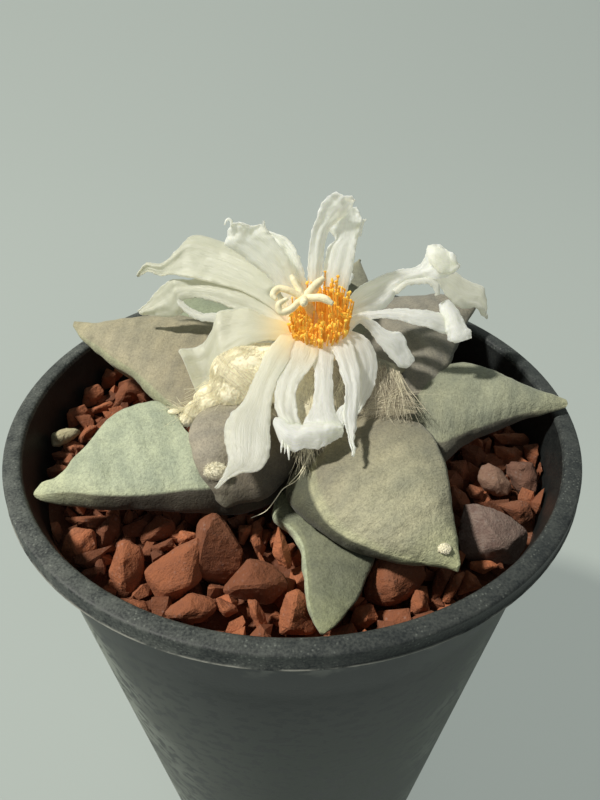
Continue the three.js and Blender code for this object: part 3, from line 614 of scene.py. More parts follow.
def applied(piece, modifier):
    """Leaves the plain mesh that a modifier makes in place of a piece's own."""
    bpy.context.view_layer.update()
    result = bpy.data.meshes.new_from_object(piece.evaluated_get(bpy.context.evaluated_depsgraph_get()))
    piece.modifiers.remove(modifier)
    old = piece.data
    piece.data = result
    result.name = piece.name
    bpy.data.meshes.remove(old)
    return piece


def grown(source, grower, **inputs):
    """Runs a Geometry Nodes tree on an object and leaves its plain mesh in its place."""
    modifier = source.modifiers.new("grow", "NODES")
    modifier.node_group, ids = grower
    for title, value in inputs.items():
        modifier[ids[title]] = value
    return applied(source, modifier)


def point_mesh(name, points, edges, values):
    """A mesh of points or lines in millimetres, with values given as a name, a kind and data."""
    mesh = bpy.data.meshes.new(name)
    mesh.from_pydata(at_rim(points).tolist(), edges, [])
    for title, kind, data in values:
        field = "vector" if kind == "FLOAT_VECTOR" else "value"
        mesh.attributes.new(title, kind, "POINT").data.foreach_set(field, np.ravel(data).tolist())
    return placed(name, mesh)


def strands(name, lines, thick, tones, radius, sides, finish):
    """Hairs or filaments from lists of points in millimetres."""
    edges, start = [], 0
    for line in lines:
        edges.extend((start + i, start + i + 1) for i in range(len(line) - 1))
        start += len(line)
    source = point_mesh(name, np.concatenate(lines), edges, [
        ("tone", "FLOAT", np.repeat(tones, [len(line) for line in lines])),
        ("thick", "FLOAT", np.concatenate(thick))])
    return grown(source, strands_tree(), Radius=radius, Sides=sides, Finish=finish)


def kinds_of(name, forms, finish, smooth):
    """A collection of pieces to scatter, from the points and faces of each in its own units."""
    kinds = bpy.data.collections.new(name)
    bpy.context.scene.collection.children.link(kinds)
    for i, (points, faces) in enumerate(forms):
        piece = mesh_object(f"{name}_{i:02d}", points / MM - (0, 0, RIM_HEIGHT), faces, [finish],
                            smooth=smooth)
        bpy.context.scene.collection.objects.unlink(piece)
        kinds.objects.link(piece)
    return kinds


def scattered(name, kinds, finish, places, kind, turn, size, tone):
    """Pieces of a collection set on places in millimetres; the collection itself goes."""
    source = point_mesh(name, places, [], [
        ("kind", "INT", kind), ("turn", "FLOAT_VECTOR", turn), ("size", "FLOAT_VECTOR", np.repeat(size, 3)),
        ("tone", "FLOAT", tone)])
    grown(source, scatter_tree(), Pieces=kinds, Scale=MM, Finish=finish)
    for piece in list(kinds.objects):
        bpy.data.objects.remove(piece)
    bpy.data.collections.remove(kinds)
    return source


def joined(name, pieces):
    """One object out of several, keeping their materials and values."""
    with bpy.context.temp_override(active_object=pieces[0], selected_editable_objects=pieces,
                                   selected_objects=pieces):
        bpy.ops.object.join()
    pieces[0].name = name
    pieces[0].data.name = name
    return pieces[0]


def settle(piece, node):
    """Hands a finished piece to the frame in place of its CAD node."""
    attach(piece, "root")
    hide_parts(node)


# Pot

def body_radius(z):
    """Outer radius of the body at a height."""
    return BODY_BASE + (BODY_TOP - BODY_BASE) * (z + RIM_HEIGHT) / (RIM_HEIGHT - LIP)


def wall_radius(z):
    """Inner radius at a height, in a wall that grows thicker downwards."""
    return body_radius(z) - WALL - (z + 4) / (INSIDE + 4)


def make_pot(settings):
    profile = [(0, BOTTOM + FOOT), (BODY_BASE - 5.4, BOTTOM + FOOT), (BODY_BASE - 5, BOTTOM + FOOT - 0.3),
               (BODY_BASE - 4.1, BOTTOM + 0.2), (BODY_BASE - 3.8, BOTTOM), (BODY_BASE - 0.7, BOTTOM),
               (BODY_BASE - 0.2, BOTTOM + 0.15)]
    profile += [(body_radius(z), z) for z in np.linspace(BOTTOM + 0.6, -LIP - 0.1, 9)]
    profile += [(RIM_RADIUS - 0.4, -LIP - 0.02), (RIM_RADIUS - 0.06, -LIP + 0.02), (RIM_RADIUS, -LIP + 0.12),
                (RIM_RADIUS - 0.02, -LIP + 0.22), (RIM_RADIUS - 0.2, -LIP + 0.34), (RIM_RADIUS - 0.22, -0.5),
                (RIM_RADIUS - 0.26, -0.25), (RIM_RADIUS - 0.4, -0.08), (RIM_RADIUS - 0.7, 0.0),
                (RIM_INNER + 0.9, 0.0), (RIM_INNER + 0.4, -0.1), (RIM_INNER + 0.08, -0.45)]
    outside = len(profile)
    profile += [(RIM_INNER, -1.0)]
    profile += [(wall_radius(z), z) for z in (-4, -9, -16, -30, -60, INSIDE + 0.5)]
    profile += [(wall_radius(INSIDE) - 0.5, INSIDE), (0, INSIDE)]
    points, faces = lathe(profile, settings.sides)
    # The outside has the worn finish with its painted sheen, and the inside the other, darkened as painted
    # shade
    looks = (np.arange(len(faces)) // settings.sides >= outside).astype(int)
    # The rim is never quite round
    turn = np.arctan2(points[:, 1], points[:, 0])
    high = np.clip((points[:, 2] + 12) / 12, 0, 1)[:, None]
    points[:, :2] *= 1 - high * (0.0012 + 0.0012 * np.sin(2 * turn + 0.6)[:, None])
    finishes = [plastic_finish("worn_pot_plastic", settings, True),
                plastic_finish("pot_plastic", settings, False)]
    piece = mesh_object("nursery_pot", points, faces, finishes, looks=looks)
    drills = Build()
    drains, radius, circle = DRAINS
    for i in range(drains):
        drill, sides = lathe([(0, BOTTOM - 1), (radius, BOTTOM - 1), (radius, INSIDE + 1), (0, INSIDE + 1)],
                             32)
        angle = 2 * math.pi * i / drains
        drills.add(drill + (circle * math.cos(angle), circle * math.sin(angle), 0), sides)
    cutter = drills.piece("drain_drills", [])
    cut = piece.modifiers.new("drain", "BOOLEAN")
    cut.object = cutter
    cut.solver = "EXACT"
    applied(piece, cut)
    bpy.data.objects.remove(cutter)
    settle(piece, "pot")


def make_mix():
    """The soil stays as the frame has it, with a soil's finish."""
    finish = clay_finish("potting_mix", (0.10, 0.065, 0.045), (0.2, 0.15, 0.11), 0.8)
    mix = frame["nodes"]["potting_mix"]
    for slot in mix.material_slots:
        slot.material = finish


# Grit and stones

# Chips that show in front, as the height of their middle and their outline in the picture, then
# the ridges that stand forward as place in the picture and distance in millimetres
FRONT_CHIPS = [
    (-7.2, [(214, 514), (222, 519), (243, 551), (239, 570), (223, 584), (207, 582), (197, 567), (195, 562),
            (200, 537), (197, 522), (207, 516)], [(208, 524, 2.6), (203, 545, 3.2), (200, 566, 3.2)]),
    (-8.2, [(177, 548), (200, 537), (197, 555), (195, 567), (202, 578), (200, 582), (168, 605), (159, 600),
            (147, 582), (145, 569)], [(150, 576, 1.2), (166, 588, 2.4), (192, 580, 2.6), (184, 552, 1.4)]),
    (-9.4, [(118, 542), (127, 540), (140, 548), (144, 560), (143, 575), (136, 594), (125, 596), (116, 592),
            (108, 573), (112, 557)], [(126, 556, 2.4), (128, 580, 2.6)]),
    (-9.6, [(104, 521), (114, 513), (120, 521), (119, 532), (112, 544), (100, 555), (95, 548), (96, 530)],
     [(108, 528, 2), (104, 545, 1.6)]),
    (-9, [(157, 515), (174, 521), (176, 530), (169, 537), (143, 545), (140, 539), (145, 528)],
     [(154, 534, 1.8), (164, 524, 1.6)]),
    (-8.6, [(180, 531), (196, 533), (198, 539), (180, 546), (177, 541)], [(188, 536, 1.4)]),
    (-9.2, [(150, 547), (172, 538), (174, 545), (160, 555), (153, 553)], [(162, 546, 1.2)]),
    (-8.4, [(248, 559), (270, 564), (284, 576), (289, 587), (282, 594), (270, 605), (254, 603), (225, 595),
            (224, 588), (236, 576)], [(252, 566, 2.4), (238, 582, 2.8), (262, 580, 3.4), (276, 578, 2)]),
    (-7.6, [(278, 526), (282, 532), (290, 550), (292, 567), (286, 569), (272, 555), (273, 546)],
     [(281, 546, 1.6), (285, 560, 1.2)]),
    (-9.6, [(247, 600), (257, 600), (260, 610), (264, 612), (268, 630), (261, 634), (252, 619)],
     [(256, 610, 1.6), (262, 626, 1.2)]),
    (-9.4, [(189, 594), (209, 598), (216, 603), (216, 612), (200, 624), (179, 621), (165, 616), (166, 610)],
     [(192, 604, 2.2), (206, 610, 1.6), (180, 613, 1.8)]),
    (-9.8, [(216, 598), (236, 606), (238, 612), (226, 618), (217, 610)], [(226, 608, 1.6)]),
    (-9.4, [(286, 594), (298, 589), (305, 596), (311, 609), (316, 630), (312, 634), (280, 634), (279, 621),
            (284, 610)], [(294, 600, 2.6), (290, 622, 2.4)]),
    (-8.4, [(380, 554), (390, 554), (400, 562), (423, 566), (426, 577), (416, 592), (399, 604), (380, 606),
            (368, 602), (364, 595), (370, 575)],
     [(386, 562, 2.2), (389, 578, 3.4), (393, 592, 3), (380, 572, 2)]),
    (-8.8, [(440, 568), (449, 568), (454, 570), (449, 580), (440, 597), (433, 600), (433, 587)],
     [(444, 578, 1.6)]),
    (-9, [(456, 575), (466, 571), (457, 592), (450, 602), (442, 602), (447, 590)], [(456, 584, 1.4)]),
    (-9, [(468, 571), (476, 576), (482, 587), (461, 595), (458, 595), (464, 578)], [(470, 580, 1.6)]),
    (-10, [(416, 590), (424, 592), (430, 612), (418, 617), (410, 614), (412, 600)], [(420, 602, 1.6)]),
    (-10, [(355, 608), (372, 604), (378, 618), (366, 630), (348, 630)], [(364, 616, 1.8)]),
    (-10.2, [(330, 634), (352, 622), (358, 634), (340, 645), (326, 642)], [(344, 632, 1.6)]),
    (-9.8, [(64, 540), (72, 528), (92, 530), (96, 548), (94, 562), (86, 570), (68, 566), (60, 552)],
     [(78, 544, 2.2), (84, 558, 2)]),
    (-9.8, [(62, 518), (80, 516), (110, 516), (112, 520), (98, 528), (74, 526)], [(86, 519, 1.2)]),
    (-9.8, [(45, 524), (58, 522), (62, 534), (54, 546), (46, 536)], [(54, 532, 1.4)]),
    (-10.2, [(112, 600), (126, 598), (146, 604), (152, 618), (134, 614), (120, 610)], [(134, 606, 1.6)]),
    (-8.2, [(56, 415), (62, 409), (84, 405), (88, 411), (82, 422), (72, 428), (58, 428), (54, 421)],
     [(70, 414, 1.8), (76, 421, 1.2)]),
    (-8.6, [(82, 432), (90, 425), (97, 426), (92, 438), (80, 446), (77, 440)], [(87, 433, 1.4)]),
    (-8.4, [(120, 386), (128, 380), (140, 384), (146, 394), (132, 402), (112, 410), (112, 402), (116, 398)],
     [(128, 390, 2), (124, 400, 1.4)]),
    (-8.6, [(88, 410), (110, 400), (114, 404), (106, 411), (90, 415)], [(102, 407, 1.4)]),
    (-8.4, [(110, 372), (114, 367), (124, 371), (122, 376), (109, 382)], [(116, 374, 1.4)]),
    (-8.6, [(46, 454), (60, 451), (74, 454), (70, 462), (54, 460)], [(62, 456, 1.2)]),
    (-8, [(72, 398), (84, 388), (98, 384), (104, 392), (96, 404), (82, 408), (74, 405)],
     [(88, 394, 1.8), (94, 400, 1.2)]),
    (-8, [(96, 376), (106, 368), (116, 374), (114, 386), (102, 390), (96, 384)], [(106, 378, 1.8)]),
    (-8.4, [(44, 470), (58, 464), (72, 468), (66, 478), (50, 480)], [(58, 471, 1.2)]),
    (-8.4, [(62, 444), (74, 440), (84, 446), (80, 456), (68, 456)], [(73, 448, 1.2)]),
    (-8, [(450, 462), (466, 460), (470, 474), (462, 482), (452, 476)], [(460, 470, 1.6)]),
    (-8, [(460, 444), (480, 446), (486, 456), (478, 470), (464, 462)], [(474, 456, 1.8)]),
    (-7.8, [(492, 434), (524, 433), (532, 440), (528, 447), (500, 444)], [(514, 438, 1.4)]),
    (-7.8, [(524, 446), (542, 444), (546, 460), (536, 470), (526, 458)], [(535, 454, 1.6)]),
    (-8, [(494, 446), (518, 448), (520, 460), (508, 462), (496, 456)], [(508, 453, 1.6)]),
    (-8, [(540, 462), (550, 464), (551, 478), (544, 482), (538, 472)], [(545, 471, 1.4)]),
    (-8.2, [(498, 505), (520, 500), (530, 504), (534, 516), (522, 526), (508, 514)], [(518, 510, 1.6)]),
    (-8.2, [(532, 502), (545, 488), (552, 492), (550, 508), (540, 520), (534, 512)], [(542, 504, 1.6)]),
    (-8.4, [(452, 486), (464, 492), (471, 502), (464, 520), (456, 526), (450, 506)], [(460, 506, 1.6)]),
    (-8.2, [(470, 484), (484, 490), (482, 500), (470, 498), (466, 490)], [(476, 492, 1.4)]),
    (-8.6, [(470, 562), (490, 560), (500, 566), (484, 574), (470, 570)], [(484, 566, 1.2)]),
]

# Loose stones, by node: height, outline and ridges as in the chips, then the stone's colour and the
# duller one of its grain; those of the mauve, pink and brown stones are darkened as painted shade
STONES = {
    # The mauve, pink and brown stones' colours are darkened as painted shade.
    "mauve_stone": (-6.4, [(468, 508), (478, 507), (495, 512), (512, 521), (524, 531), (531, 542), (523, 554),
                           (512, 562), (495, 561), (478, 560), (464, 554), (462, 538), (466, 521)],
                    [(486, 526, 3), (500, 542, 3.2), (480, 546, 2.6)],
                    (0.16, 0.095, 0.075), (0.3, 0.23, 0.19)),
    "pink_stone": (-6.6, [(487, 464), (495, 464), (507, 476), (513, 485), (512, 492), (504, 498), (490, 493),
                          (479, 485), (481, 473)], [(490, 480, 2.2), (502, 488, 2)],
                   (0.22, 0.115, 0.075), (0.3, 0.19, 0.13)),
    "brown_stone": (-7.4, [(510, 463), (530, 462), (536, 466), (538, 477), (542, 492), (536, 499), (524, 498),
                           (514, 485), (508, 470)], [(522, 476, 1.8), (530, 490, 1.6)],
                    (0.15, 0.062, 0.036), (0.22, 0.115, 0.075)),
    "pale_pebble": (-6.2, [(46, 439), (52, 432), (62, 429), (74, 428), (80, 432), (74, 438), (62, 446),
                           (54, 448), (48, 445)], [(60, 436, 1.4), (70, 433, 1.2)],
                    (0.44, 0.4, 0.23), (0.6, 0.56, 0.36)),
}


CHIP_KINDS = 14


def chip_points(height, outline, ridges, grow):
    """Corners of a chip: its outline square to the view, its ridges towards the camera, and a back.

    None of them leaves the pot's wall.
    """
    middle = np.mean(outline, 0)
    outline = middle + grow * (np.array(outline) - middle)
    centre = seen(*middle, height)
    per_pixel = (centre - EYE) @ DEPTH / FOCAL

    def place(px, py, out):
        return centre + ((px - middle[0]) * RIGHT - (py - middle[1]) * UP) * per_pixel - out * DEPTH

    width = np.ptp(np.array(outline), axis=0).min() * per_pixel
    front = [place(px, py, 0.0) for px, py in outline]
    forward = [place(*ridge) for ridge in ridges]
    back = [place(*(middle + 0.72 * (np.array(spot) - middle)), -0.5 * width) for spot in outline[::2]]
    points = np.array(front + forward + back)
    far = np.hypot(points[:, 0], points[:, 1])
    points[:, :2] *= np.minimum(1, (wall_radius(points[:, 2]) - 0.5) / far)[:, None]
    return points


def rock(points, rough, cuts, soft, seed):
    """A closed rock from corner points, with its faces broken up by noise."""
    form = bmesh.new()
    for p in points:
        form.verts.new(p)
    bmesh.ops.convex_hull(form, input=form.verts)
    loose = [v for v in form.verts if not v.link_faces]
    bmesh.ops.delete(form, geom=loose, context="VERTS")
    bmesh.ops.dissolve_limit(form, angle_limit=0.12, verts=form.verts, edges=form.edges)
    size = max(np.ptp(np.array([v.co[:] for v in form.verts]), axis=0))
    if cuts:
        bmesh.ops.bevel(form, geom=form.edges[:], offset=0.035 * size * (1 + 3 * soft), segments=1 + 2 * soft,
                        affect="EDGES", clamp_overlap=True)
    bmesh.ops.triangulate(form, faces=form.faces)
    for _ in range(cuts):
        long = [e for e in form.edges if e.calc_length() > 0.09 * size]
        bmesh.ops.subdivide_edges(form, edges=long, cuts=1)
        bmesh.ops.triangulate(form, faces=form.faces)
    if soft:
        for _ in range(4):
            bmesh.ops.smooth_vert(form, verts=form.verts, factor=0.5, use_axis_x=True, use_axis_y=True,
                                  use_axis_z=True)
    form.normal_update()
    for v in form.verts:
        spot = v.co * (1.5 / max(size, 1) ** 0.5) + Vector((seed, 0, -seed))
        push = noise.noise(spot) + 0.5 * noise.noise(spot * 2.7) + 0.3 * noise.noise(spot * 6)
        v.co += v.normal * rough * push
    bmesh.ops.recalc_face_normals(form, faces=form.faces)
    verts = np.array([v.co[:] for v in form.verts])
    faces = [tuple(v.index for v in f.verts) for f in form.faces]
    form.free()
    return verts, faces


def painted_shade_bed(level):
    """Dark bed under the chips, of fine dust and soil and painted shade, rippled but for its edge."""
    rings, sides, calm = 22, 72, 44
    bed = []
    for i in range(rings):
        r = wall_radius(level) * (i + 1) / rings
        for j in range(sides):
            a = 2 * math.pi * j / sides
            bed.append((r * math.cos(a), r * math.sin(a), level - 2.7 + 0.03 * r * abs(math.cos(a))))
    bed = np.array(bed)
    bed[:, 2] += 0.7 * ripple(bed, 0.5, 3) * (np.hypot(bed[:, 0], bed[:, 1]) < calm)
    under = bed.copy()
    under[:, 2] = level - 4
    faces = []
    for low, flip in ((0, False), (rings * sides, True)):
        layer = [(a, a + sides, b + sides, b) for i in range(rings - 1) for j in range(sides)
                 for a, b in [(low + i * sides + j, low + i * sides + (j + 1) % sides)]]
        layer.append(tuple(low + j for j in range(sides)))
        faces += [tuple(reversed(face)) if flip else face for face in layer]
    top, bottom = (rings - 1) * sides, (2 * rings - 1) * sides
    faces += [(top + j, bottom + j, bottom + (j + 1) % sides, top + (j + 1) % sides) for j in range(sides)]
    return np.concatenate([bed, under]), faces


def small_chip(random, seed):
    spread = random.normal(size=(13, 3))
    corners = unit(spread) * (0.75 + 0.35 * random.random((13, 1))) * (1.2, 0.95, 0.75)
    return rock(corners, 0.05, 0, 0, seed)


def make_grit(settings):
    random = np.random.default_rng(settings.seed)
    clay = clay_finish("broken_clay", settings.clay, (0.20, 0.075, 0.042), 0.55)
    level, gap = settings.level / MM, settings.spacing / MM
    big = Build()
    for i, (height, outline, ridges) in enumerate(FRONT_CHIPS):
        points, faces = rock(chip_points(height, outline, ridges, 1.05), 0.15, 3, 0, i)
        big.add(points, faces, tone=np.full(len(points), 0.1 + 0.9 * random.random()))
    # The bed takes the darkest tone: painted shade between the chips.
    big.add(*painted_shade_bed(level), tone=0.05)
    front = big.piece("front_chips", [clay], smooth=False)
    # Small chips over the rest, in two layers; those near a big chip or stone lie lower
    kinds = kinds_of("chip", [small_chip(random, i) for i in range(CHIP_KINDS)], clay, False)
    taken = [(np.mean(outline, 0), height, max(np.ptp(np.array(outline), axis=0)))
             for height, outline, _ in FRONT_CHIPS]
    taken += [(np.mean(stone[1], 0), stone[0], 34.0) for stone in STONES.values()]
    spots = [(seen(*middle, height), 0.07 * width) for middle, height, width in taken]
    places, kind, turn, size, tone = [], [], [], [], []
    rows = range(-16, 17)
    for layer, row, column in itertools.product(range(2), rows, rows):
        x = gap * (column + 0.5 * (row & 1) + 0.5 * layer + 0.7 * (random.random() - 0.5))
        y = gap * (0.87 * row + 0.45 * layer + 0.7 * (random.random() - 0.5))
        scale = 1.4 + 1.3 * random.random() ** 1.3
        facts = random.random(5)
        if math.hypot(x, y) > wall_radius(level) - 0.4 - 0.9 * scale:
            continue
        z = level - 0.9 * (1 - layer) + 0.045 * abs(x) - 0.9 * facts[0]
        if any((x - c[0]) ** 2 + (y - c[1]) ** 2 < reach ** 2 for c, reach in spots):
            if layer:
                continue
            z -= 1.6
        places.append((x, y, z))
        kind.append(int(facts[1] * CHIP_KINDS) % CHIP_KINDS)
        turn.append((6.28 * facts[2], 6.28 * facts[3], 6.28 * facts[4]))
        size.append(scale)
        tone.append(random.random() ** 1.3)
    small = scattered("small_chips", kinds, clay, places, kind, turn, size, tone)
    settle(joined("clay_grit", [front, small]), "grit_top_dressing")


def make_stones():
    for i, (name, (height, outline, ridges, low, high)) in enumerate(STONES.items()):
        points, faces = rock(chip_points(height, outline, ridges, 1.15), 0.2, 3, 1, 20 + i)
        finish = clay_finish(name + "_rock", low, high, 0.75)
        piece = mesh_object("loose_" + name, points, faces, [finish],
                            values={"tone": np.full(len(points), 0.55)})
        settle(piece, name)


# Cactus

# Tubercles that show. First how high the face is crowned and how deep the underside hangs, then the
# colours of the face, of the tip, of the flank and of the base, in some of which painted shade and
# light are mixed, as the notes on those tubercles say. Each row from the tip to the base has three
# corners, as place in the picture and height: the outer edge of the face, its ridge and the lower
# edge of the flank.
TUBERCLES = {
    "left_back": (2.2, 5.5, (0.33, 0.30, 0.21), (0.33, 0.31, 0.2), (0.33, 0.34, 0.22), (0.2, 0.17, 0.12), [
        (75, 321, 5.2, 73, 325, 5, 74, 328, 4.4), (84, 321.5, 5.4, 77, 331, 4.9, 80, 337, 4),
        (96, 323, 5.5, 84, 337, 4.9, 87, 346, 3.6), (112, 321, 5.6, 97, 345, 4.9, 100, 357, 3),
        (134, 317, 5.7, 116, 359, 4.8, 118, 369, 2.8), (158, 314, 5.8, 134, 371, 4.7, 134, 381, 2.6),
        (186, 315, 5.8, 150, 384, 4.5, 148, 394, 2.4), (214, 319, 5.6, 163, 397, 4.2, 160, 405, 2.2),
        (240, 327, 5.2, 180, 409, 3.8, 176, 415, 1.8), (262, 336, 4.8, 205, 410, 3.5, 200, 420, 1),
        (290, 352, 4, 250, 412, 3, 248, 425, -1)]),
    # left_front's dark flank is painted shade.
    "left_front": (1.3, 4.5, (0.385, 0.43, 0.315), (0.46, 0.49, 0.32), (0.045, 0.038, 0.026),
                   (0.22, 0.25, 0.19), [
        (35.5, 489.5, -0.9, 33.5, 494, -1.2, 36, 498, -1.8), (42, 481.5, -0.5, 43, 494, -1, 45, 502, -2.2),
        (54, 477.5, -0.1, 57, 492, -0.6, 60, 505, -2.8), (70, 461, 0.6, 74, 491.5, -0.4, 78, 507, -3.2),
        (86, 444, 1.2, 94, 493.5, -0.2, 98, 509, -3.4), (101, 425, 1.8, 116, 495, -0.2, 120, 511, -3.4),
        (116, 410, 2.3, 140, 494.5, 0, 144, 513, -3.4), (136, 402, 2.6, 163, 492, 0.2, 168, 514, -3.6),
        (156, 400, 2.8, 186, 488.5, 0.4, 192, 515, -4), (174, 412, 3, 207, 487, 0.6, 214, 516, -4.4),
        (190, 432, 3, 228, 482, 0.4, 235, 515, -5), (215, 430, 2.2, 255, 468, 0, 262, 510, -6),
        (262, 405, 1.5, 300, 450, 0, 305, 490, -7)]),
    # front_young's dark tip is the painted shadow of a petal.
    "front_young": (1.5, 4.5, (0.31, 0.28, 0.225), (0.1, 0.09, 0.06), (0.13, 0.11, 0.09),
                    (0.25, 0.24, 0.15), [
        (215.5, 500, -1.4, 222, 504, -1.4, 226, 508.5, -2),
        (212.5, 493, -0.6, 227, 498, -0.8, 236, 506, -2.4),
        (207, 485.5, 0.4, 230, 488, 0.4, 249, 503, -2.4), (200, 477, 1.4, 236, 474, 1.6, 262, 500, -2.6),
        (194, 467, 2.2, 243, 460, 2.6, 273, 495, -2.8), (190, 453, 3.2, 251, 445, 3.6, 285, 485, -2.6),
        (187, 437, 4, 260, 430, 4.4, 296, 471, -2.2), (189, 423, 4.6, 270, 417, 5, 307, 456, -1.6),
        (200, 411, 4.8, 282, 405, 5.2, 319, 443, -1), (225, 400, 4.8, 296, 397, 5.2, 331, 429, -0.6),
        (262, 386, 4.5, 316, 390, 5, 345, 415, 0)]),
    # right_front's dark flank is painted shade, and its base colour is the painted shadow of the flower.
    "right_front": (3.0, 5, (0.36, 0.35, 0.245), (0.58, 0.62, 0.36), (0.075, 0.078, 0.05),
                    (0.18, 0.155, 0.115), [
        (460.5, 564, -1.6, 456, 569, -2, 458, 572, -2.6), (459.5, 551, -1, 446, 566, -1.6, 447, 569, -2.6),
        (459, 535, -0.4, 424, 563.5, -1.2, 424, 568, -2.6), (457, 517, 0.4, 398, 558, -0.8, 396, 564, -2.8),
        (454, 499, 1.2, 372, 548.5, -0.4, 368, 555, -2.8), (451.5, 479, 2, 349, 540, 0, 343, 548, -2.8),
        (448, 461, 2.6, 331, 527, 0.4, 323, 535, -2.8), (441, 442, 3, 320, 511, 0.9, 306, 523, -2.8),
        (429, 426, 3, 313, 495, 1.4, 292, 511, -2.8), (410, 418, 2.6, 311, 480, 1.8, 283, 498, -2.6),
        (388, 418, 2, 314, 467, 2, 285, 484, -2.4), (362, 424, 1.2, 321, 454, 1.8, 295, 470, -2.4),
        (345, 434, 0.6, 330, 446, 1.2, 312, 462, -2.6)]),
    # front_low's face is darkened as painted shade, and its narrow flank lightened as a painted highlight.
    "front_low": (1.0, 3, (0.15, 0.16, 0.108), (0.26, 0.28, 0.16), (0.42, 0.47, 0.33), (0.2, 0.22, 0.16), [
        (325.5, 633, -5.8, 319.5, 632, -5.8, 322, 635, -6.6),
        (336, 625, -5.8, 315.5, 622, -5.6, 315, 624, -7),
        (347, 613, -5.8, 312, 610, -5.4, 310, 612, -7.6), (357, 601, -5.7, 309, 596, -5.2, 307, 598, -8),
        (365, 585, -5.6, 308, 580, -5, 305.5, 582, -8.4), (372, 568, -5.5, 306.5, 562, -4.8, 304, 564, -8.6),
        (379, 550, -5.4, 303.5, 546, -4.6, 301, 549, -8.8), (381, 532, -5.4, 297, 532, -4.4, 294, 536, -8.8),
        (379, 512, -5.3, 289, 524, -4.4, 285, 529, -8.8), (377, 492, -5.2, 278, 517, -4.6, 275, 522, -8.6),
        (374, 472, -5, 276, 500, -4.8, 276, 505, -8.4), (374, 458, -5, 290, 462, -4.8, 290, 470, -8)]),
    "right": (2.0, 5, (0.28, 0.295, 0.215), (0.33, 0.34, 0.22), (0.13, 0.125, 0.095), (0.17, 0.17, 0.12), [
        (565.5, 399, 2.2, 568, 404, 1.8, 565.5, 408, 1.4), (556, 395, 2.4, 556, 408, 1.7, 554, 412, 1),
        (545, 392, 2.6, 542, 410, 1.7, 540, 416, 0.6), (530, 386.5, 2.9, 526, 413, 1.7, 525, 420, 0.2),
        (513, 379.5, 3.2, 507, 418, 1.6, 507, 427, -0.4), (497, 372, 3.4, 488, 424.5, 1.5, 488, 435, -1),
        (481, 365, 3.5, 471, 430, 1.4, 470, 443, -1.6), (464, 361, 3.5, 456, 436, 1.3, 455, 453, -2.2),
        (448, 363, 3.3, 442, 441, 1.1, 442, 463, -3), (433, 371, 2.8, 426, 440, 0.8, 426, 468, -4),
        (405, 382, 2, 400, 436, 0.4, 400, 470, -5), (360, 395, 1, 360, 430, 0, 360, 460, -6)]),
    "right_back": (2.4, 6, (0.235, 0.22, 0.185), (0.28, 0.26, 0.2), (0.17, 0.16, 0.13), (0.17, 0.15, 0.12), [
        (474, 302, 6.8, 476, 307, 6.4, 475, 310, 5.8), (462, 300, 6.8, 468, 318, 6, 468, 323, 4.6),
        (446, 296, 6.9, 461, 332, 5.4, 461, 338, 3.6), (425, 295, 6.9, 455.5, 345, 5, 455.5, 352, 2.8),
        (400, 295, 6.8, 448.5, 360, 4.6, 448.5, 368, 2.2), (375, 299, 6.4, 438.5, 375, 4.2, 438.5, 384, 1.6),
        (350, 308, 5.8, 424.5, 389, 3.8, 424, 399, 1), (325, 320, 5, 408, 402, 3.2, 408, 413, 0),
        (300, 338, 4, 380, 412, 2.6, 380, 425, -1), (285, 355, 3, 350, 416, 2, 350, 432, -2)]),
}
# Tubercles at the back and in the crown, as in the frame: base, tip, half width, reach from the tip to
# the full width, how acute the tip is, depth, crown and lift, then the colours of face, tip and flank
BACK_TUBERCLES = {
    "back": ((1, 3, 3), (14.8, 37, 11.5), 10, 25, 1, 8, 2.4, -0.2,
             (0.24, 0.24, 0.18), (0.3, 0.29, 0.2), (0.2, 0.2, 0.15)),
    "back_left": ((-1, 3, 2), (-27, 34.5, 4.5), 10.5, 26, 1, 8.5, 2.6, 0.6,
                  (0.25, 0.29, 0.2), (0.33, 0.35, 0.22), (0.2, 0.2, 0.15)),
    "back_low": ((0, 5, -2), (-6.5, 43, -1.5), 9.5, 26, 0.95, 7, 2, 0.6,
                 (0.24, 0.26, 0.19), (0.3, 0.3, 0.2), (0.2, 0.2, 0.15)),
    "right_young": ((3, 0, 5), (20, 1.6, 6), 5.2, 10, 0.8, 5.5, 1.6, 0.8,
                    (0.22, 0.21, 0.16), (0.3, 0.27, 0.18), (0.2, 0.19, 0.14)),
    "front_bud": ((3, -2, 4), (6.5, -13, 5), 4.2, 8, 0.8, 5, 1.4, 0.6,
                  (0.24, 0.23, 0.17), (0.3, 0.28, 0.18), (0.2, 0.19, 0.14)),
    "back_young": ((1, 1, 5), (-9, 16, 9), 5.4, 10, 0.85, 5.5, 1.6, 0.6,
                   (0.24, 0.23, 0.17), (0.3, 0.28, 0.18), (0.2, 0.19, 0.14)),
}
STEM_RADIUS = 13.0
# Corners across the face, the flank and the underside of a tubercle
FACE, FLANK, UNDER = 30, 12, 18


def outward(points, faces):
    """The faces of a closed form, turned so that they all look outwards."""
    volume = sum(np.dot(points[f[0]], np.cross(points[f[i]], points[f[i + 1]]))
                 for f in faces for i in range(1, len(f) - 1))
    return faces if volume > 0 else [tuple(reversed(f)) for f in faces]


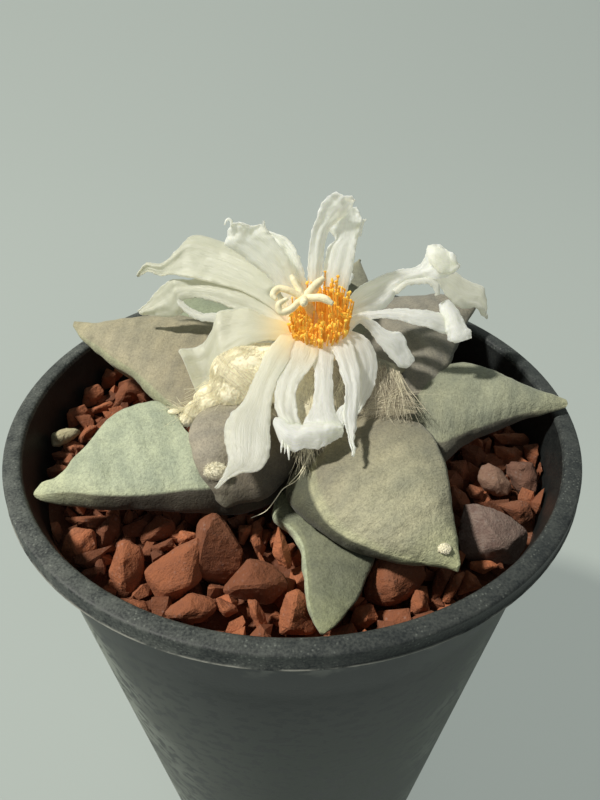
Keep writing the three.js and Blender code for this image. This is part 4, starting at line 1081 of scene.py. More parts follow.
def seen_tubercle(shape, seed, rings=96):
    """Points, faces, UV and skin colours of a tubercle given by its corners in the picture."""
    crown, depth, face, point, flank, root, rows = shape
    rows = np.array(rows, float)
    # The first ring closes the tip as a small round nub
    times = np.concatenate([[0.0], np.linspace(0, 1, rings - 1) ** 1.25])
    edge, ridge, lower = (curve(np.array([seen(*row[k:k + 3]) for row in rows]), times) for k in (0, 3, 6))
    middle = (edge + ridge + lower) / 3
    for line in (edge, ridge, lower):
        line[0] = middle[0] + 0.35 * (line[0] - middle[0]) + 0.12 * unit(middle[0] - middle[3])
    along = unit(np.gradient(middle, axis=0))
    top = unit(np.cross(ridge - edge, along))
    top *= np.where(top[:, 2] < 0, -1, 1)[:, None]
    wide = np.linalg.norm(ridge - edge, axis=1)
    swell = np.clip(wide / (0.62 * wide.max()), 0, 1)
    side = unit(np.cross(ridge - lower, along))
    side *= np.where(np.sum(side * (ridge - edge), axis=1) < 0, -1, 1)[:, None]
    parts = []
    for low, high, count, bulge, way in (
            (edge, ridge, FACE, crown * swell, top),
            (ridge, lower, FLANK, 0.14 * np.linalg.norm(lower - ridge, axis=1), side),
            (lower, edge, UNDER, depth * swell, -top)):
        share = np.arange(count) / count
        rise = 1 - np.abs(2 * share - 1) ** 2.6
        parts.append(low[:, None] * (1 - share)[None, :, None] + high[:, None] * share[None, :, None]
                     + (bulge[:, None] * rise)[..., None] * way[:, None])
    grid = np.concatenate(parts, 1)
    corners = grid.shape[1]
    for _ in range(2):
        grid = 0.5 * grid + 0.25 * (np.roll(grid, 1, 1) + np.roll(grid, -1, 1))
    outside = unit(np.cross(np.gradient(grid, axis=0), np.roll(grid, -1, 1) - np.roll(grid, 1, 1)))
    if np.sum(outside[rings // 2] * (grid[rings // 2] - middle[rings // 2])) < 0:
        outside = -outside
    flat, normals = grid.reshape(-1, 3), outside.reshape(-1, 3)
    fade = np.repeat(np.clip(wide / 5, 0.05, 1), corners)
    swing = (ripple(flat, 0.15, seed) * 0.5 + ripple(flat, 0.42, seed + 3) * 0.2
             + ripple(flat, 1.1, seed + 4) * 0.06)
    flat = flat + normals * (swing * fade)[:, None]
    # Growth lines and creases across the face, close to the ridge
    steps = np.linalg.norm(np.diff(middle, axis=0), axis=1)
    spot = np.repeat(np.cumsum(np.concatenate([[0], steps])), corners)
    # 0 to 1 across the face, then 1 to 2 down the flank and 2 to 3 back under it
    place = np.concatenate([i + np.arange(count) / count for i, count in enumerate((FACE, FLANK, UNDER))])
    place = np.tile(place, rings)
    near_ridge = np.exp(-((place - 0.9) / 0.22) ** 2)
    crease = np.sin(spot * 4.2 + 3 * ripple(flat, 0.5, seed + 6)) * near_ridge * np.clip(spot / 4, 0, 1)
    flat = flat + normals * (crease * 0.05 * np.exp(-((spot - 12) / 9) ** 2))[:, None]
    uv = np.stack([place * 12, spot], 1)
    length = spot.max()
    near_tip = np.clip(1 - spot / (0.28 * length), 0, 1)[:, None] ** 1.4
    # The base colour reaches far up each tubercle; on right_front it is the painted shadow of the flower.
    toward_base_and_shadow = np.clip((spot / length - 0.42) / 0.4, 0, 1)[:, None] ** 1.2
    on_face = np.clip(np.minimum(place, 1.04 - place) * 24 + 0.5, 0, 1)
    on_face = np.where(place > 2, 0, np.where(place < 0.5, 1, on_face))[:, None]
    color = np.array(flank) + on_face * (np.array(face) - flank)
    color = color + toward_base_and_shadow * on_face * 0.7 * (np.array(root) - color)
    color = color + near_tip * 0.8 * (np.array(point) - color)
    edge_line = (np.exp(-((place - 0.985) / 0.03) ** 2) + 0.6 * np.exp(-((place - 0.0) / 0.02) ** 2))[:, None]
    color = color + 0.3 * edge_line * (np.array(point) * 1.1 - color)
    cloud = ripple(flat, 0.2, seed + 8) * 0.2 + ripple(flat, 0.62, seed + 9) * 0.1
    lines = 0.06 * np.sin(spot * 1.7 + 2 * ripple(flat, 0.3, seed + 2))
    color = color * (1 + (cloud + lines)[:, None] * (1.1, 1.0, 0.85))
    faces = tube_faces(rings, corners)
    return flat, outward(flat, faces), uv, np.clip(color, 0, 1)


def tubercle(shape, seed, rings=60, top=25, under=23):
    """Points, faces, UV and skin colours of one tubercle, from its tip to its base."""
    base, tip, width, reach, acute, depth, crown, lift, face, point, side = shape
    base, tip = np.array(base, float), np.array(tip, float)
    along = unit(tip - base)
    length = np.linalg.norm(tip - base)
    across = unit(np.cross(along, (0, 0, 1)))
    up = np.cross(across, along)
    spot = np.linspace(0, 1, rings) ** 1.6
    back = spot * length
    swell = np.sin(math.pi / 2 * np.minimum(1, back / reach))
    narrow = 1 - 0.3 * np.maximum(0, back / reach - 1)
    wide = np.maximum(0.35, width * swell ** acute * narrow)
    deep = np.maximum(0.4, depth * swell ** 0.8 * narrow)
    high = 0.3 + crown * swell ** 0.9 * narrow
    bow = np.sin(math.pi * spot)
    centre = tip - back[:, None] * along + bow[:, None] * (lift * up)
    u_top = -np.cos(np.linspace(0, math.pi, top))
    u_low = np.cos(np.linspace(0, math.pi, under + 2)[1:-1])
    u = np.concatenate([u_top, u_low])
    upper = np.arange(len(u)) < top
    v = np.where(upper, high[:, None] * (1 - np.abs(u) ** 2.2), -deep[:, None] * (1 - np.abs(u) ** 3.4))
    rings_points = centre[:, None] + u[:, None] * wide[:, None, None] * across + v[..., None] * up
    points = rings_points.reshape(-1, 3)
    normal_way = np.where(upper, 1.0, -1.0)[None, :, None] * up + 0 * rings_points
    swing = ripple(points, 0.16, seed) * 0.45 + ripple(points, 0.5, seed + 3) * 0.13
    fade = np.repeat(np.clip(back / 5, 0.05, 1), len(u))
    points = points + normal_way.reshape(-1, 3) * (swing * fade)[:, None]
    uv = np.stack([np.tile(np.where(upper, u, u + 9), rings) * np.repeat(wide, len(u)),
                   np.repeat(back, len(u))], 1)
    near_tip = np.clip(1 - back / (0.45 * reach), 0, 1) ** 1.5
    edge = np.clip((np.abs(u) - 0.9) / 0.1, 0, 1)[None, :] * np.where(upper, 1, 0.4)
    color = np.where(upper[None, :, None], np.array(face), np.array(side)) + 0 * rings_points
    color = color + near_tip[:, None, None] * 0.7 * (np.array(point) - color)
    color = color + 0.35 * edge[..., None] * (np.array(point) * 1.15 - color)
    cloud = (ripple(points, 0.22, seed + 8) * 0.16 + ripple(points, 0.7, seed + 9) * 0.08)[:, None]
    color = color.reshape(-1, 3) * (1 + cloud * (1.1, 1.0, 0.85))
    return points, tube_faces(rings, len(u)), uv, np.clip(color, 0, 1)


def make_body(settings):
    finish = skin_finish()
    tint = np.array(settings.skin)
    body = Build()
    for i, shape in enumerate(TUBERCLES.values()):
        points, faces, uv, color = seen_tubercle(shape, i)
        body.add(points, faces, uv, skin=color * tint)
    for i, shape in enumerate(BACK_TUBERCLES.values()):
        points, faces, uv, color = tubercle(shape, 20 + i)
        body.add(points, faces, uv, skin=color * tint)
    stem, faces = lathe([(0, -62), (1.4, -61), (5.5, -40), (11, -24), (STEM_RADIUS, -12), (STEM_RADIUS, -4),
                         (8, 5), (0, 6.5)], 48)
    body.add(stem, faces, skin=np.tile((0.22, 0.2, 0.15), (len(stem), 1)))
    settle(body.piece("tubercles_and_stem", [finish]), "cactus_body")


# Wool

# Lumps of matted wool: middle and half sizes
WOOL_LUMPS = [
    ((1, -1, 7), (9.5, 8.5, 4)),
    ((-4.6, -2.4, 8.6), (5.4, 5.2, 4.4)),
    ((-7.8, -3, 8.3), (6.2, 5.8, 4.9)),
    ((-9.8, -5, 6.9), (4.4, 4.4, 3.6)),
    ((-13.4, -6.2, 5.2), (3.5, 3, 2.5)),
    ((-16.2, -7.4, 3.9), (2.2, 2, 1.5)),
    ((-17.9, -8.5, 2.7), (1.4, 1.3, 1.1)),
    ((-20.3, -7.4, 3.6), (1, 0.6, 0.45)),
    ((9.5, -4, 5.4), (5.5, 5.5, 3)),
    ((14.5, -6, 4.6), (4.6, 4.2, 2)),
    ((1.2, -10.6, 6.2), (3.6, 5, 3.2)),
    ((4, 8, 7), (6, 5, 3.6)),
]
FRONT_TUFT = ((-11.8, -20.8, 2.3), (1.8, 1.4, 1.4))
RIGHT_TUFT = ((20.7, -34.1, 0.2), (0.9, 0.8, 0.55))
# Locks of long hair: start, middle and end as place in the picture and height, spread in pixels, how
# many hairs and their tone
LOCKS = [
    ((374, 366, 9), (377, 392, 7.4), (364, 419, 4.4), 7, 60, 0.3),
    ((382, 368, 9), (389, 392, 7.2), (382, 418, 4.6), 8, 60, 0.25),
    ((392, 371, 8.6), (398, 394, 7), (397, 416, 4.8), 5, 60, 0.3),
    ((398, 372, 8.6), (406, 394, 6.8), (414, 412, 4.9), 2, 40, 0.55),
    ((362, 412, 5), (384, 398, 6.8), (408, 404, 5.6), 7, 60, 0.4),
    ((378, 380, 8), (396, 396, 7), (376, 414, 5), 8, 60, 0.3),
    ((400, 388, 7.6), (382, 400, 7), (396, 413, 5), 6, 60, 0.4),
    ((414, 412, 4.9), (392, 409, 6), (362, 417, 4.6), 3, 50, 0.5),
    ((408, 402, 5.6), (390, 394, 6.8), (368, 408, 5.2), 7, 60, 0.35),
    ((306, 380, 9), (304, 412, 7), (306, 450, 3), 7, 80, 0.9),
    ((308, 425, 6), (307, 452, 3.4), (309, 474, 1.2), 3, 36, 0.55),
    ((336, 370, 9), (338, 395, 7.4), (338, 416, 5), 5, 50, 0.6),
    ((314, 440, 4), (322, 452, 3), (326, 462, 2.2), 4, 16, 0.3),
    ((262, 350, 10.6), (240, 368, 10), (212, 392, 6.6), 6, 110, 0.95),
    ((232, 360, 9.6), (244, 380, 10), (262, 400, 8), 7, 100, 0.95),
    ((250, 358, 10.6), (228, 388, 8.6), (198, 408, 4.6), 5, 90, 0.95),
    ((202, 398, 6.4), (192, 408, 5), (184, 420, 3.8), 2.5, 50, 0.95),
    ((188, 408, 4.4), (179, 411, 4), (170, 410, 3.9), 1.4, 30, 0.95),
]
# Single long hairs: places in the picture and heights
STRAYS = [
    [(306, 466, 2), (297, 480, 0.6), (283, 489, -1), (275, 500, -2.4), (266, 511, -4), (251, 518, -6)],
    [(312, 450, 3), (300, 472, 1.4), (289, 484, 0)],
]


def ball(detail):
    form = bmesh.new()
    bmesh.ops.create_icosphere(form, subdivisions=detail, radius=1)
    points = np.array([v.co[:] for v in form.verts])
    faces = [tuple(v.index for v in f.verts) for f in form.faces]
    form.free()
    return points, faces


def lump(centre, size, detail, seed):
    points, faces = ball(detail)
    tuft = 1 + 0.06 * ripple(points, 2.2, seed) + 0.03 * ripple(points, 6.0, seed + 1)
    return np.array(centre) + points * tuft[:, None] * size, faces


def wool_tone(points):
    """Cream on the left of the crown and grey-brown on its right."""
    return np.clip(0.8 - 0.085 * (np.asarray(points)[:, 0] - 1), 0.08, 1.0)


def laid_on(points, lumps, lift, held=False):
    """Points that lie inside a lump moved out onto it, and with held also those outside moved in."""
    centres, halves = (np.array(part, float) for part in zip(*lumps))
    share = (points[:, None] - centres) / halves
    far = np.linalg.norm(share, axis=2)
    nearest = far.argmin(1)
    least = far.min(1)[:, None]
    out = centres[nearest] + share[np.arange(len(points)), nearest] / least * halves[nearest] * (1 + lift)
    return np.where((least < 1 + lift) | held, out, points)


def matted_hairs(lumps, count, random, long, lift):
    """Short hairs that lie over the lumps in every direction."""
    steps = 7
    lines, thick, tones = [], [], []
    sizes = np.array([a[0] * a[1] for _, a in lumps])
    centres = np.array([c for c, _ in lumps], float)
    halves = np.array([a for _, a in lumps], float)
    for _ in range(count):
        k = random.choice(len(lumps), p=sizes / sizes.sum())
        way = unit(random.normal(size=3))
        way[2] = abs(way[2])
        p = centres[k] + way * halves[k] * 0.98
        heading = unit(np.cross(way, random.normal(size=3)))
        line = [p]
        reach = long * (0.5 + random.random()) / steps
        for _ in range(steps):
            heading = unit(heading + 0.3 * random.normal(size=3))
            p = laid_on((p + heading * reach)[None], lumps, lift * random.random(), True)[0]
            line.append(p)
        lines.append(np.array(line))
        thick.append(np.linspace(1.0, 0.45, steps + 1))
        tones.append(float(np.clip(wool_tone(line[:1])[0] + 0.25 * random.normal(), 0, 1)))
    return lines, thick, tones


def locks(random):
    """Hairs that hang from the crown in locks, and the single strays."""
    lines, thick, tones = [], [], []
    spread_by_part = np.array(((0.7,), (1.0,), (1.3,)))
    for start, middle, end, spread, count, tone in LOCKS:
        for _ in range(count):
            shift = random.normal(size=(3, 3)) * (spread, 0.7 * spread, 0.25) * spread_by_part * 0.6
            a, b, c = (seen(*place) for place in np.array([start, middle, end], float) + shift)
            t = np.linspace(0, 1, 9)[:, None]
            line = (1 - t) ** 2 * a + 2 * t * (1 - t) * b + t ** 2 * c
            line += np.cumsum(np.cumsum(random.normal(size=(9, 3)), 0), 0) * 0.07
            lines.append(laid_on(line, WOOL_LUMPS, 0.02 + 0.03 * random.random()))
            thick.append(np.linspace(1.0, 0.5, 9))
            tones.append(float(np.clip(tone + 0.2 * random.normal(), 0, 1)))
    for stray in STRAYS:
        lines.append(curve([seen(*place) for place in stray], np.linspace(0, 1, 24)))
        thick.append(np.linspace(2.2, 1.4, 24))
        tones.append(1.0)
    return lines, thick, tones


def make_wool(settings):
    random = np.random.default_rng(5)
    finish = soft_finish("matted_wool", (0.25, 0.21, 0.155), settings.wool, 0.95, 2200.0, 0.15)
    core = Build()
    for i, (centre, size) in enumerate(WOOL_LUMPS):
        points, faces = lump(centre, size, 5, i)
        core.add(points, faces, tone=wool_tone(points))
    body = core.piece("wool_core", [finish])
    lines, thick, tones = matted_hairs(WOOL_LUMPS, settings.hairs, random, 3.4, 0.02)
    more = locks(random)
    hairs = strands("wool_hairs", lines + more[0], thick + more[1], tones + more[2], settings.hair_radius, 3,
                    finish)
    settle(joined("crown_wool_mat", [body, hairs]), "crown_wool")
    pale = soft_finish("areole_wool", (0.62, 0.56, 0.36), (0.95, 0.92, 0.74), 0.95, 1600.0, 0.1)
    for name, shape, count in (("front_areole_wool", FRONT_TUFT, 160), ("right_areole_wool", RIGHT_TUFT, 60)):
        points, faces = lump(*shape, 4, 30)
        core = mesh_object(name + "_core", points, faces, [pale], values={"tone": np.full(len(points), 0.7)})
        lines, thick, tones = matted_hairs([shape], count, random, 1.1, 0.2)
        hairs = strands(name + "_hairs", lines, thick, [0.6 + 0.4 * random.random() for _ in lines],
                        settings.hair_radius, 3, pale)
        settle(joined(name + "_tuft", [core, hairs]), name)


# Flower

THROAT = np.array((4.5, 0.8, 0.0))
THROAT_TOP = 13.3
# Petals that show: cup, pleats, crumple and tone, then rows from the throat to the end. The tone is
# painted shade: it darkens a petal towards grey-green. Each row has its distance from the camera in
# millimetres, the places of the petal's two edges in the picture and how much farther off the second
# edge is
PETALS = {
    "far_left": (0.15, 0.24, 0.6, 1.0, [
        (103, 296, 330, 312, 322, 1.6), (104.6, 283, 318, 300, 302, 1.6), (106.2, 262, 301, 287, 279, 1.8),
        (107.6, 240, 290, 266, 262, 2), (109, 215, 283, 245, 248, 2.4), (110, 198, 279, 222, 240, 2.6),
        (110.6, 182, 276, 192, 234, 2.6), (110.4, 172, 274, 176, 250, 0.6), (111.5, 160, 276, 160, 263, 0.2),
        (112.3, 148, 272, 145, 263, 0.4), (113, 138, 277, 137, 276, 0)]),
    "left": (0.2, 0.2, 0.5, 1.0, [
        (103.3, 290, 333, 305, 326, 1.6), (105, 272, 322, 284, 304, 1.8), (106.5, 252, 312, 262, 292, 2),
        (107.6, 232, 307, 238, 282, 2), (109, 210, 299, 212, 277, 2), (110.4, 192, 297, 190, 279, 1.6),
        (110.9, 180, 301, 174, 279, 0.6), (111.6, 181, 312, 166, 282, 0), (112.6, 170, 317, 158, 289, 0),
        (113.4, 155, 316, 148, 301, 0), (114.2, 142, 315, 138, 311, 0)]),
    "left_strand": (0.3, 0.05, 0.1, 0.6, [
        (108.4, 226, 324, 228, 315, 0.4), (109, 212, 322, 214, 313, 0.4), (109.6, 200, 320, 202, 313, 0.3),
        (110.2, 190, 316, 193, 309, 0.2), (110.6, 182, 309, 185, 304, 0.1), (110.9, 177, 302, 180, 298, 0)]),
    "upper_left": (0.16, 0.32, 0.6, 0.15, [
        (103.2, 297, 330, 312, 320, 1.2), (102, 288, 305, 306, 296, 0.6), (101, 276, 286, 298, 278, -0.6),
        (100, 262, 272, 290, 262, -1.4), (99.3, 249, 262, 281, 248, -1.8), (98.8, 236, 252, 272, 237, -2),
        (98.5, 224, 245, 267, 231, -1.8), (98.2, 227, 236, 263, 225, -1.2), (97.8, 230, 229, 253, 226, -0.6),
        (97.4, 231, 223, 242, 222, 0)]),
    "upper_left_spike": (0.1, 0.02, 0.1, 0.0, [
        (98.8, 264, 236, 272, 236, 0), (98.6, 263, 229, 268, 231, 0), (98.4, 263, 224, 265, 225, 0),
        (98.3, 263.4, 221, 264, 221, 0)]),
    "upper_left_inner": (0.2, 0.28, 0.4, 0.15, [
        (104, 303, 322, 314, 316, 0.8), (102.4, 297, 292, 308, 292, 0), (101.2, 291, 274, 304, 274, -1),
        (100.8, 285, 258, 300, 260, -1.4), (101, 277, 244, 293, 246, -1.6), (101.5, 269, 236, 284, 237, -1.2),
        (102, 264, 231, 272, 233, 0)]),
    "top_narrow": (0.14, 0.16, 0.5, 0.0, [
        (105, 308, 318, 322, 318, 0), (102.6, 308, 295, 321, 295, 0), (101, 308, 275, 322, 275, 0.2),
        (100, 309, 252, 324, 252, 0.3), (99.2, 311, 236, 328, 234, 0.6), (98.6, 315, 222, 335, 224, 1),
        (98, 318, 213, 344, 217, 0.6), (97, 322, 203, 350, 210, 0), (96, 328, 197, 354, 203, -0.5),
        (95, 335, 193, 352, 197, -0.6)]),
    "top_wide": (0.16, 0.2, 0.6, 0.1, [
        (105, 322, 318, 340, 320, -0.6), (103, 323, 295, 346, 296, -0.8), (101.4, 323, 275, 350, 277, -0.8),
        (100.8, 325, 258, 354, 260, -0.8), (100.4, 328, 246, 356, 247, -1), (100, 335, 240, 358, 236, -1.4),
        (99.8, 330, 232, 361, 227, -1.8), (99.5, 327, 226, 362, 221, -1.6), (99.1, 332, 219, 360, 215, -0.8),
        (98.7, 341, 208, 357, 207, 0)]),
    "top_spike": (0.1, 0.03, 0.1, 0.0, [
        (99.6, 355, 238, 361, 236, 0.4), (99.4, 356, 229, 363, 227, 0.4), (99.4, 359, 223, 364, 223, 0.3),
        (99.5, 362, 219.4, 366, 219, 0.2)]),
    "upper_right": (0.2, 0.2, 0.6, 0.05, [
        (103.6, 342, 326, 338, 318, 0.6), (104.4, 354, 318, 348, 300, 0.4), (105, 370, 313, 357, 289, 0.2),
        (105.4, 386, 307, 372, 280, 0), (105.2, 396, 294, 388, 273, 0), (104.6, 408, 284, 402, 269, 0.2),
        (104, 424, 279, 417, 266, 0.4), (103.4, 440, 278, 425, 257, 0.8), (103.2, 455, 269, 428, 246, 1),
        (103, 456, 256, 440, 245, 0.8)]),
    "upper_right_curl": (0.5, 0.14, 0.8, 0.05, [
        (102.8, 429, 262, 427, 245, 0.6), (102.2, 437, 268, 434, 243, 0.8), (102.4, 446, 273, 443, 246, 0.8),
        (103, 454, 272, 450, 251, 0.8), (103.6, 459, 268, 456, 260, 0.2)]),
    "upper_right_tail": (0.6, 0.0, 0.1, 0.35, [
        (104.4, 397, 294, 393, 290, 0.2), (104, 408, 285, 406, 280, 0.4), (103.6, 420, 283, 420, 278, 0.5),
        (103.4, 430, 284, 432, 278, 0.5), (103.4, 435, 289, 440, 285, 0.4),
        (103.6, 436, 296, 440, 294, 0.1)]),
    "far_right": (0.12, 0.14, 0.45, 0.75, [
        (104.5, 347, 325, 338, 318, 0.8), (107, 372, 304, 358, 292, 0.8), (109, 392, 284, 386, 277, 1),
        (110, 414, 277, 411, 268, 1), (110.6, 436, 281, 435, 267, 1.2), (111.2, 448, 297, 456, 272, 1.6),
        (111.8, 462, 308, 471, 281, 1.6), (112.4, 476, 308, 483, 287, 1.4), (112.8, 484, 316, 487, 296, 0.8),
        (113, 487, 319, 485, 306, 0.2)]),
    "right": (0.2, 0.07, 0.25, 0.05, [
        (103, 347, 331, 340, 324, 0.8), (104, 364, 321, 358, 313, 0.8), (104, 380, 318, 378, 310, 0.8),
        (103.8, 396, 319, 396, 308, 1), (103.2, 414, 324, 416, 309, 1), (103.2, 432, 329, 434, 311, 1),
        (104, 447, 334, 450, 314, 0.8)]),
    "right_roll": (0.5, 0.08, 0.3, 0.0, [
        (105, 439, 304, 449, 299, 0), (104.2, 441, 311, 457, 307, 0.4), (103.6, 444, 320, 462, 315, 0.4),
        (103, 447, 330, 466, 324, 0.3), (102.7, 450, 340, 472, 331, 0.2), (102.8, 456, 343, 472, 338, 0)]),
    "right_lower": (0.2, 0.08, 0.35, 0.05, [
        (102.4, 349, 334, 343, 326, 0.6), (103.2, 360, 323, 362, 316, 0.5), (103.2, 370, 332, 377, 323, 0.4),
        (103, 379, 344, 389, 331, 0.4), (103, 387, 353, 402, 333, 0.5), (103.2, 394, 361, 408, 347, 0.4),
        (103.4, 400, 367, 413, 356, 0.2), (103.6, 407, 368, 415, 361, 0)]),
    "right_hook": (0.2, 0.12, 0.15, 0.1, [
        (101, 334, 336, 344, 331, 0.6), (100, 342, 340, 358, 333, 0.6), (99.7, 350, 350, 369, 340, 0.6),
        (99.6, 355, 362, 376, 355, 0.8), (99.4, 357, 376, 377, 373, 1), (99, 357, 390, 372, 392, 0.8),
        (98.4, 357, 403, 365, 403, 0.4), (97.8, 356, 414, 359, 413, 0)]),
    "front_right": (0.2, 0.14, 0.2, 0.05, [
        (100.3, 325, 338, 343, 331, 0.4), (98.6, 331, 348, 351, 341, 0.5), (97.6, 337, 360, 356, 356, 0.6),
        (96.6, 341, 374, 360, 372, 0.6), (95.4, 345, 387, 360, 388, 0.5), (94, 345, 400, 359, 404, 0.4),
        (92.4, 343, 414, 357, 420, 0.2), (90.2, 346, 429, 356, 431, 0), (88.6, 349, 441, 354, 442, 0),
        (87.8, 350.6, 447, 355, 448, 0), (87.3, 352, 456, 354, 457, 0)]),
    "front_right_lobe": (0.3, 0.04, 0.2, 0.0, [
        (93.6, 339, 408, 346, 404, 0), (92.8, 335, 414, 345, 412, 0), (92, 337, 420, 344, 420, 0),
        (91.4, 341, 423, 345, 427, 0)]),
    "front": (0.12, 0.08, 0.25, 0.05, [
        (99.9, 305, 340, 333, 341, 0), (98.2, 309, 350, 334, 352, 0), (96.9, 314, 366, 333, 368, 0.1),
        (95, 315, 386, 333, 388, 0.1), (93.4, 313, 402, 334, 404, 0.1), (92, 309, 413, 336, 414, 0),
        (90.9, 304, 421, 341, 423, 0), (90.6, 302, 432, 345, 432, 0)]),
    "front_roll": (0.55, 0.14, 0.9, 0.0, [
        (91.2, 273, 424, 275, 417, 0.4), (90.4, 277, 435, 284, 417, 1.2), (89.8, 283, 444, 293, 420, 1.8),
        (89.4, 292, 449, 302, 422, 2), (89.2, 304, 446, 312, 420, 2), (89.2, 317, 447, 323, 420, 2),
        (89.6, 331, 442, 333, 419, 1.6), (90.6, 345, 435, 341, 423, 0.6)]),
    "front_left": (0.16, 0.14, 0.3, 0.4, [
        (100, 296, 338, 319, 340, -0.4), (98.2, 288, 348, 319, 350, -0.6), (97.2, 282, 360, 315, 361, -0.8),
        (96, 280, 370, 307, 372, -1), (94.6, 277, 382, 299, 383, -0.8), (93.4, 275, 394, 296, 394, -0.6),
        (92.2, 275, 406, 297, 407, -0.4), (91.2, 279, 417, 299, 418, 0), (90.5, 284, 428, 303, 429, 0)]),
    "left_front": (0.1, 0.12, 0.25, 0.7, [
        (100.8, 284, 334, 306, 340, -1), (98.8, 274, 342, 297, 350, -1), (97.4, 265, 354, 288, 363, -1.2),
        (96, 258, 370, 279, 377, -1.2), (94.8, 250, 386, 274, 391, -1.3), (93.6, 243, 401, 271, 406, -1.4),
        (92.4, 232, 412, 270, 420, -1.6), (91.2, 225, 424, 270, 434, -1.8), (90, 224, 436, 270, 447, -1.8),
        (89, 226, 449, 267, 460, -1.6), (88.2, 228, 460, 259, 470, -1.4), (87.4, 225, 470, 244, 472, -0.8),
        (86.6, 221, 479, 231, 478, -0.4), (85.8, 215, 488, 217, 489, 0)]),
    "left_wide": (0.12, 0.16, 0.4, 1.0, [
        (101.9, 296, 340, 297, 328, 1.6), (101.6, 280, 340, 282, 321, 2), (101.5, 262, 340, 265, 316, 2.4),
        (101.6, 246, 346, 248, 308, 2.8), (101.8, 232, 354, 232, 309, 2.8), (101.8, 221, 362, 217, 312, 2.4),
        (102.8, 215, 370, 211, 330, 1.6), (103.6, 213, 379, 201, 344, 1), (103.7, 210, 387, 189, 348, 0.6),
        (103.2, 203, 391, 181, 348, 0.3), (102.9, 196, 391, 179, 351, 0)]),
}
# Petals at the back, as in the frame: rows of x, y, height and half width
BACK_PETALS = {
    "back": (0.25, 0.12, 0.4, 0.1, [
        (5.4, 5.4, 14.4, 1.6), (7, 12, 16.4, 2.4), (8.4, 18, 16.6, 3), (9.4, 23.4, 15, 2.6),
        (10, 26.6, 13, 1)]),
    "back_left": (0.25, 0.12, 0.4, 0.1, [
        (3, 5, 14.4, 1.6), (0.6, 11.6, 17, 2.4), (-2.4, 18, 18, 3), (-5.4, 23, 17, 2.7),
        (-7.4, 26, 15.6, 1)]),
}
# Parts that grow from a petal and not from the throat
ROOTLESS = ("left_strand", "upper_left_spike", "top_spike", "upper_right_curl", "upper_right_tail",
            "right_roll", "front_right_lobe", "front_roll")
# Thin torn ends: places in the picture and distances from the camera, then the radii
TENDRIL = ([(232, 226, 97.6), (231, 221, 97.4), (228.5, 219, 97.3), (226, 221, 97.2), (224.5, 225, 97.2)],
           (0.3, 0.26, 0.22, 0.18, 0.1))
FRINGES = (([(283, 440, 89.4), (281.5, 447, 88.8), (281, 453, 88.4)], 0.22),
           ([(288, 446, 89.2), (288.6, 453, 88.6), (289, 460, 88.2)], 0.26),
           ([(285, 443, 89.3), (285, 449, 88.9), (284.5, 454, 88.6)], 0.16))


def shown(px, py, distance):
    """The place at a distance from the camera of a point of the picture."""
    px, py, distance = (np.asarray(v, float)[..., None] for v in (px, py, distance))
    ray = DEPTH + (px - PICTURE[0] / 2) / FOCAL * RIGHT - (py - PICTURE[1] / 2) / FOCAL * UP
    return EYE + ray * distance


def petal_edges(name, rows):
    """The two edges of a petal, with its root inside the throat."""
    rows = np.array(rows, float)
    if rows.shape[1] == 6:
        distance, lean = rows[:, 0], rows[:, 5] / 2
        edges = [shown(rows[:, 1], rows[:, 2], distance - lean),
                 shown(rows[:, 3], rows[:, 4], distance + lean)]
    else:
        centre, wide = rows[:, :3], rows[:, 3:]
        along = unit(np.gradient(centre, axis=0))
        across = unit(np.stack([-along[:, 1], along[:, 0], 0 * along[:, 0]], 1))
        edges = [centre - across * wide, centre + across * wide]
    if name not in ROOTLESS:
        for i, edge in enumerate(edges):
            root = edge[0] + 0.25 * (THROAT - edge[0]) * (1, 1, 0) - (0, 0, 2)
            edges[i] = np.vstack([root, edge])
    return edges


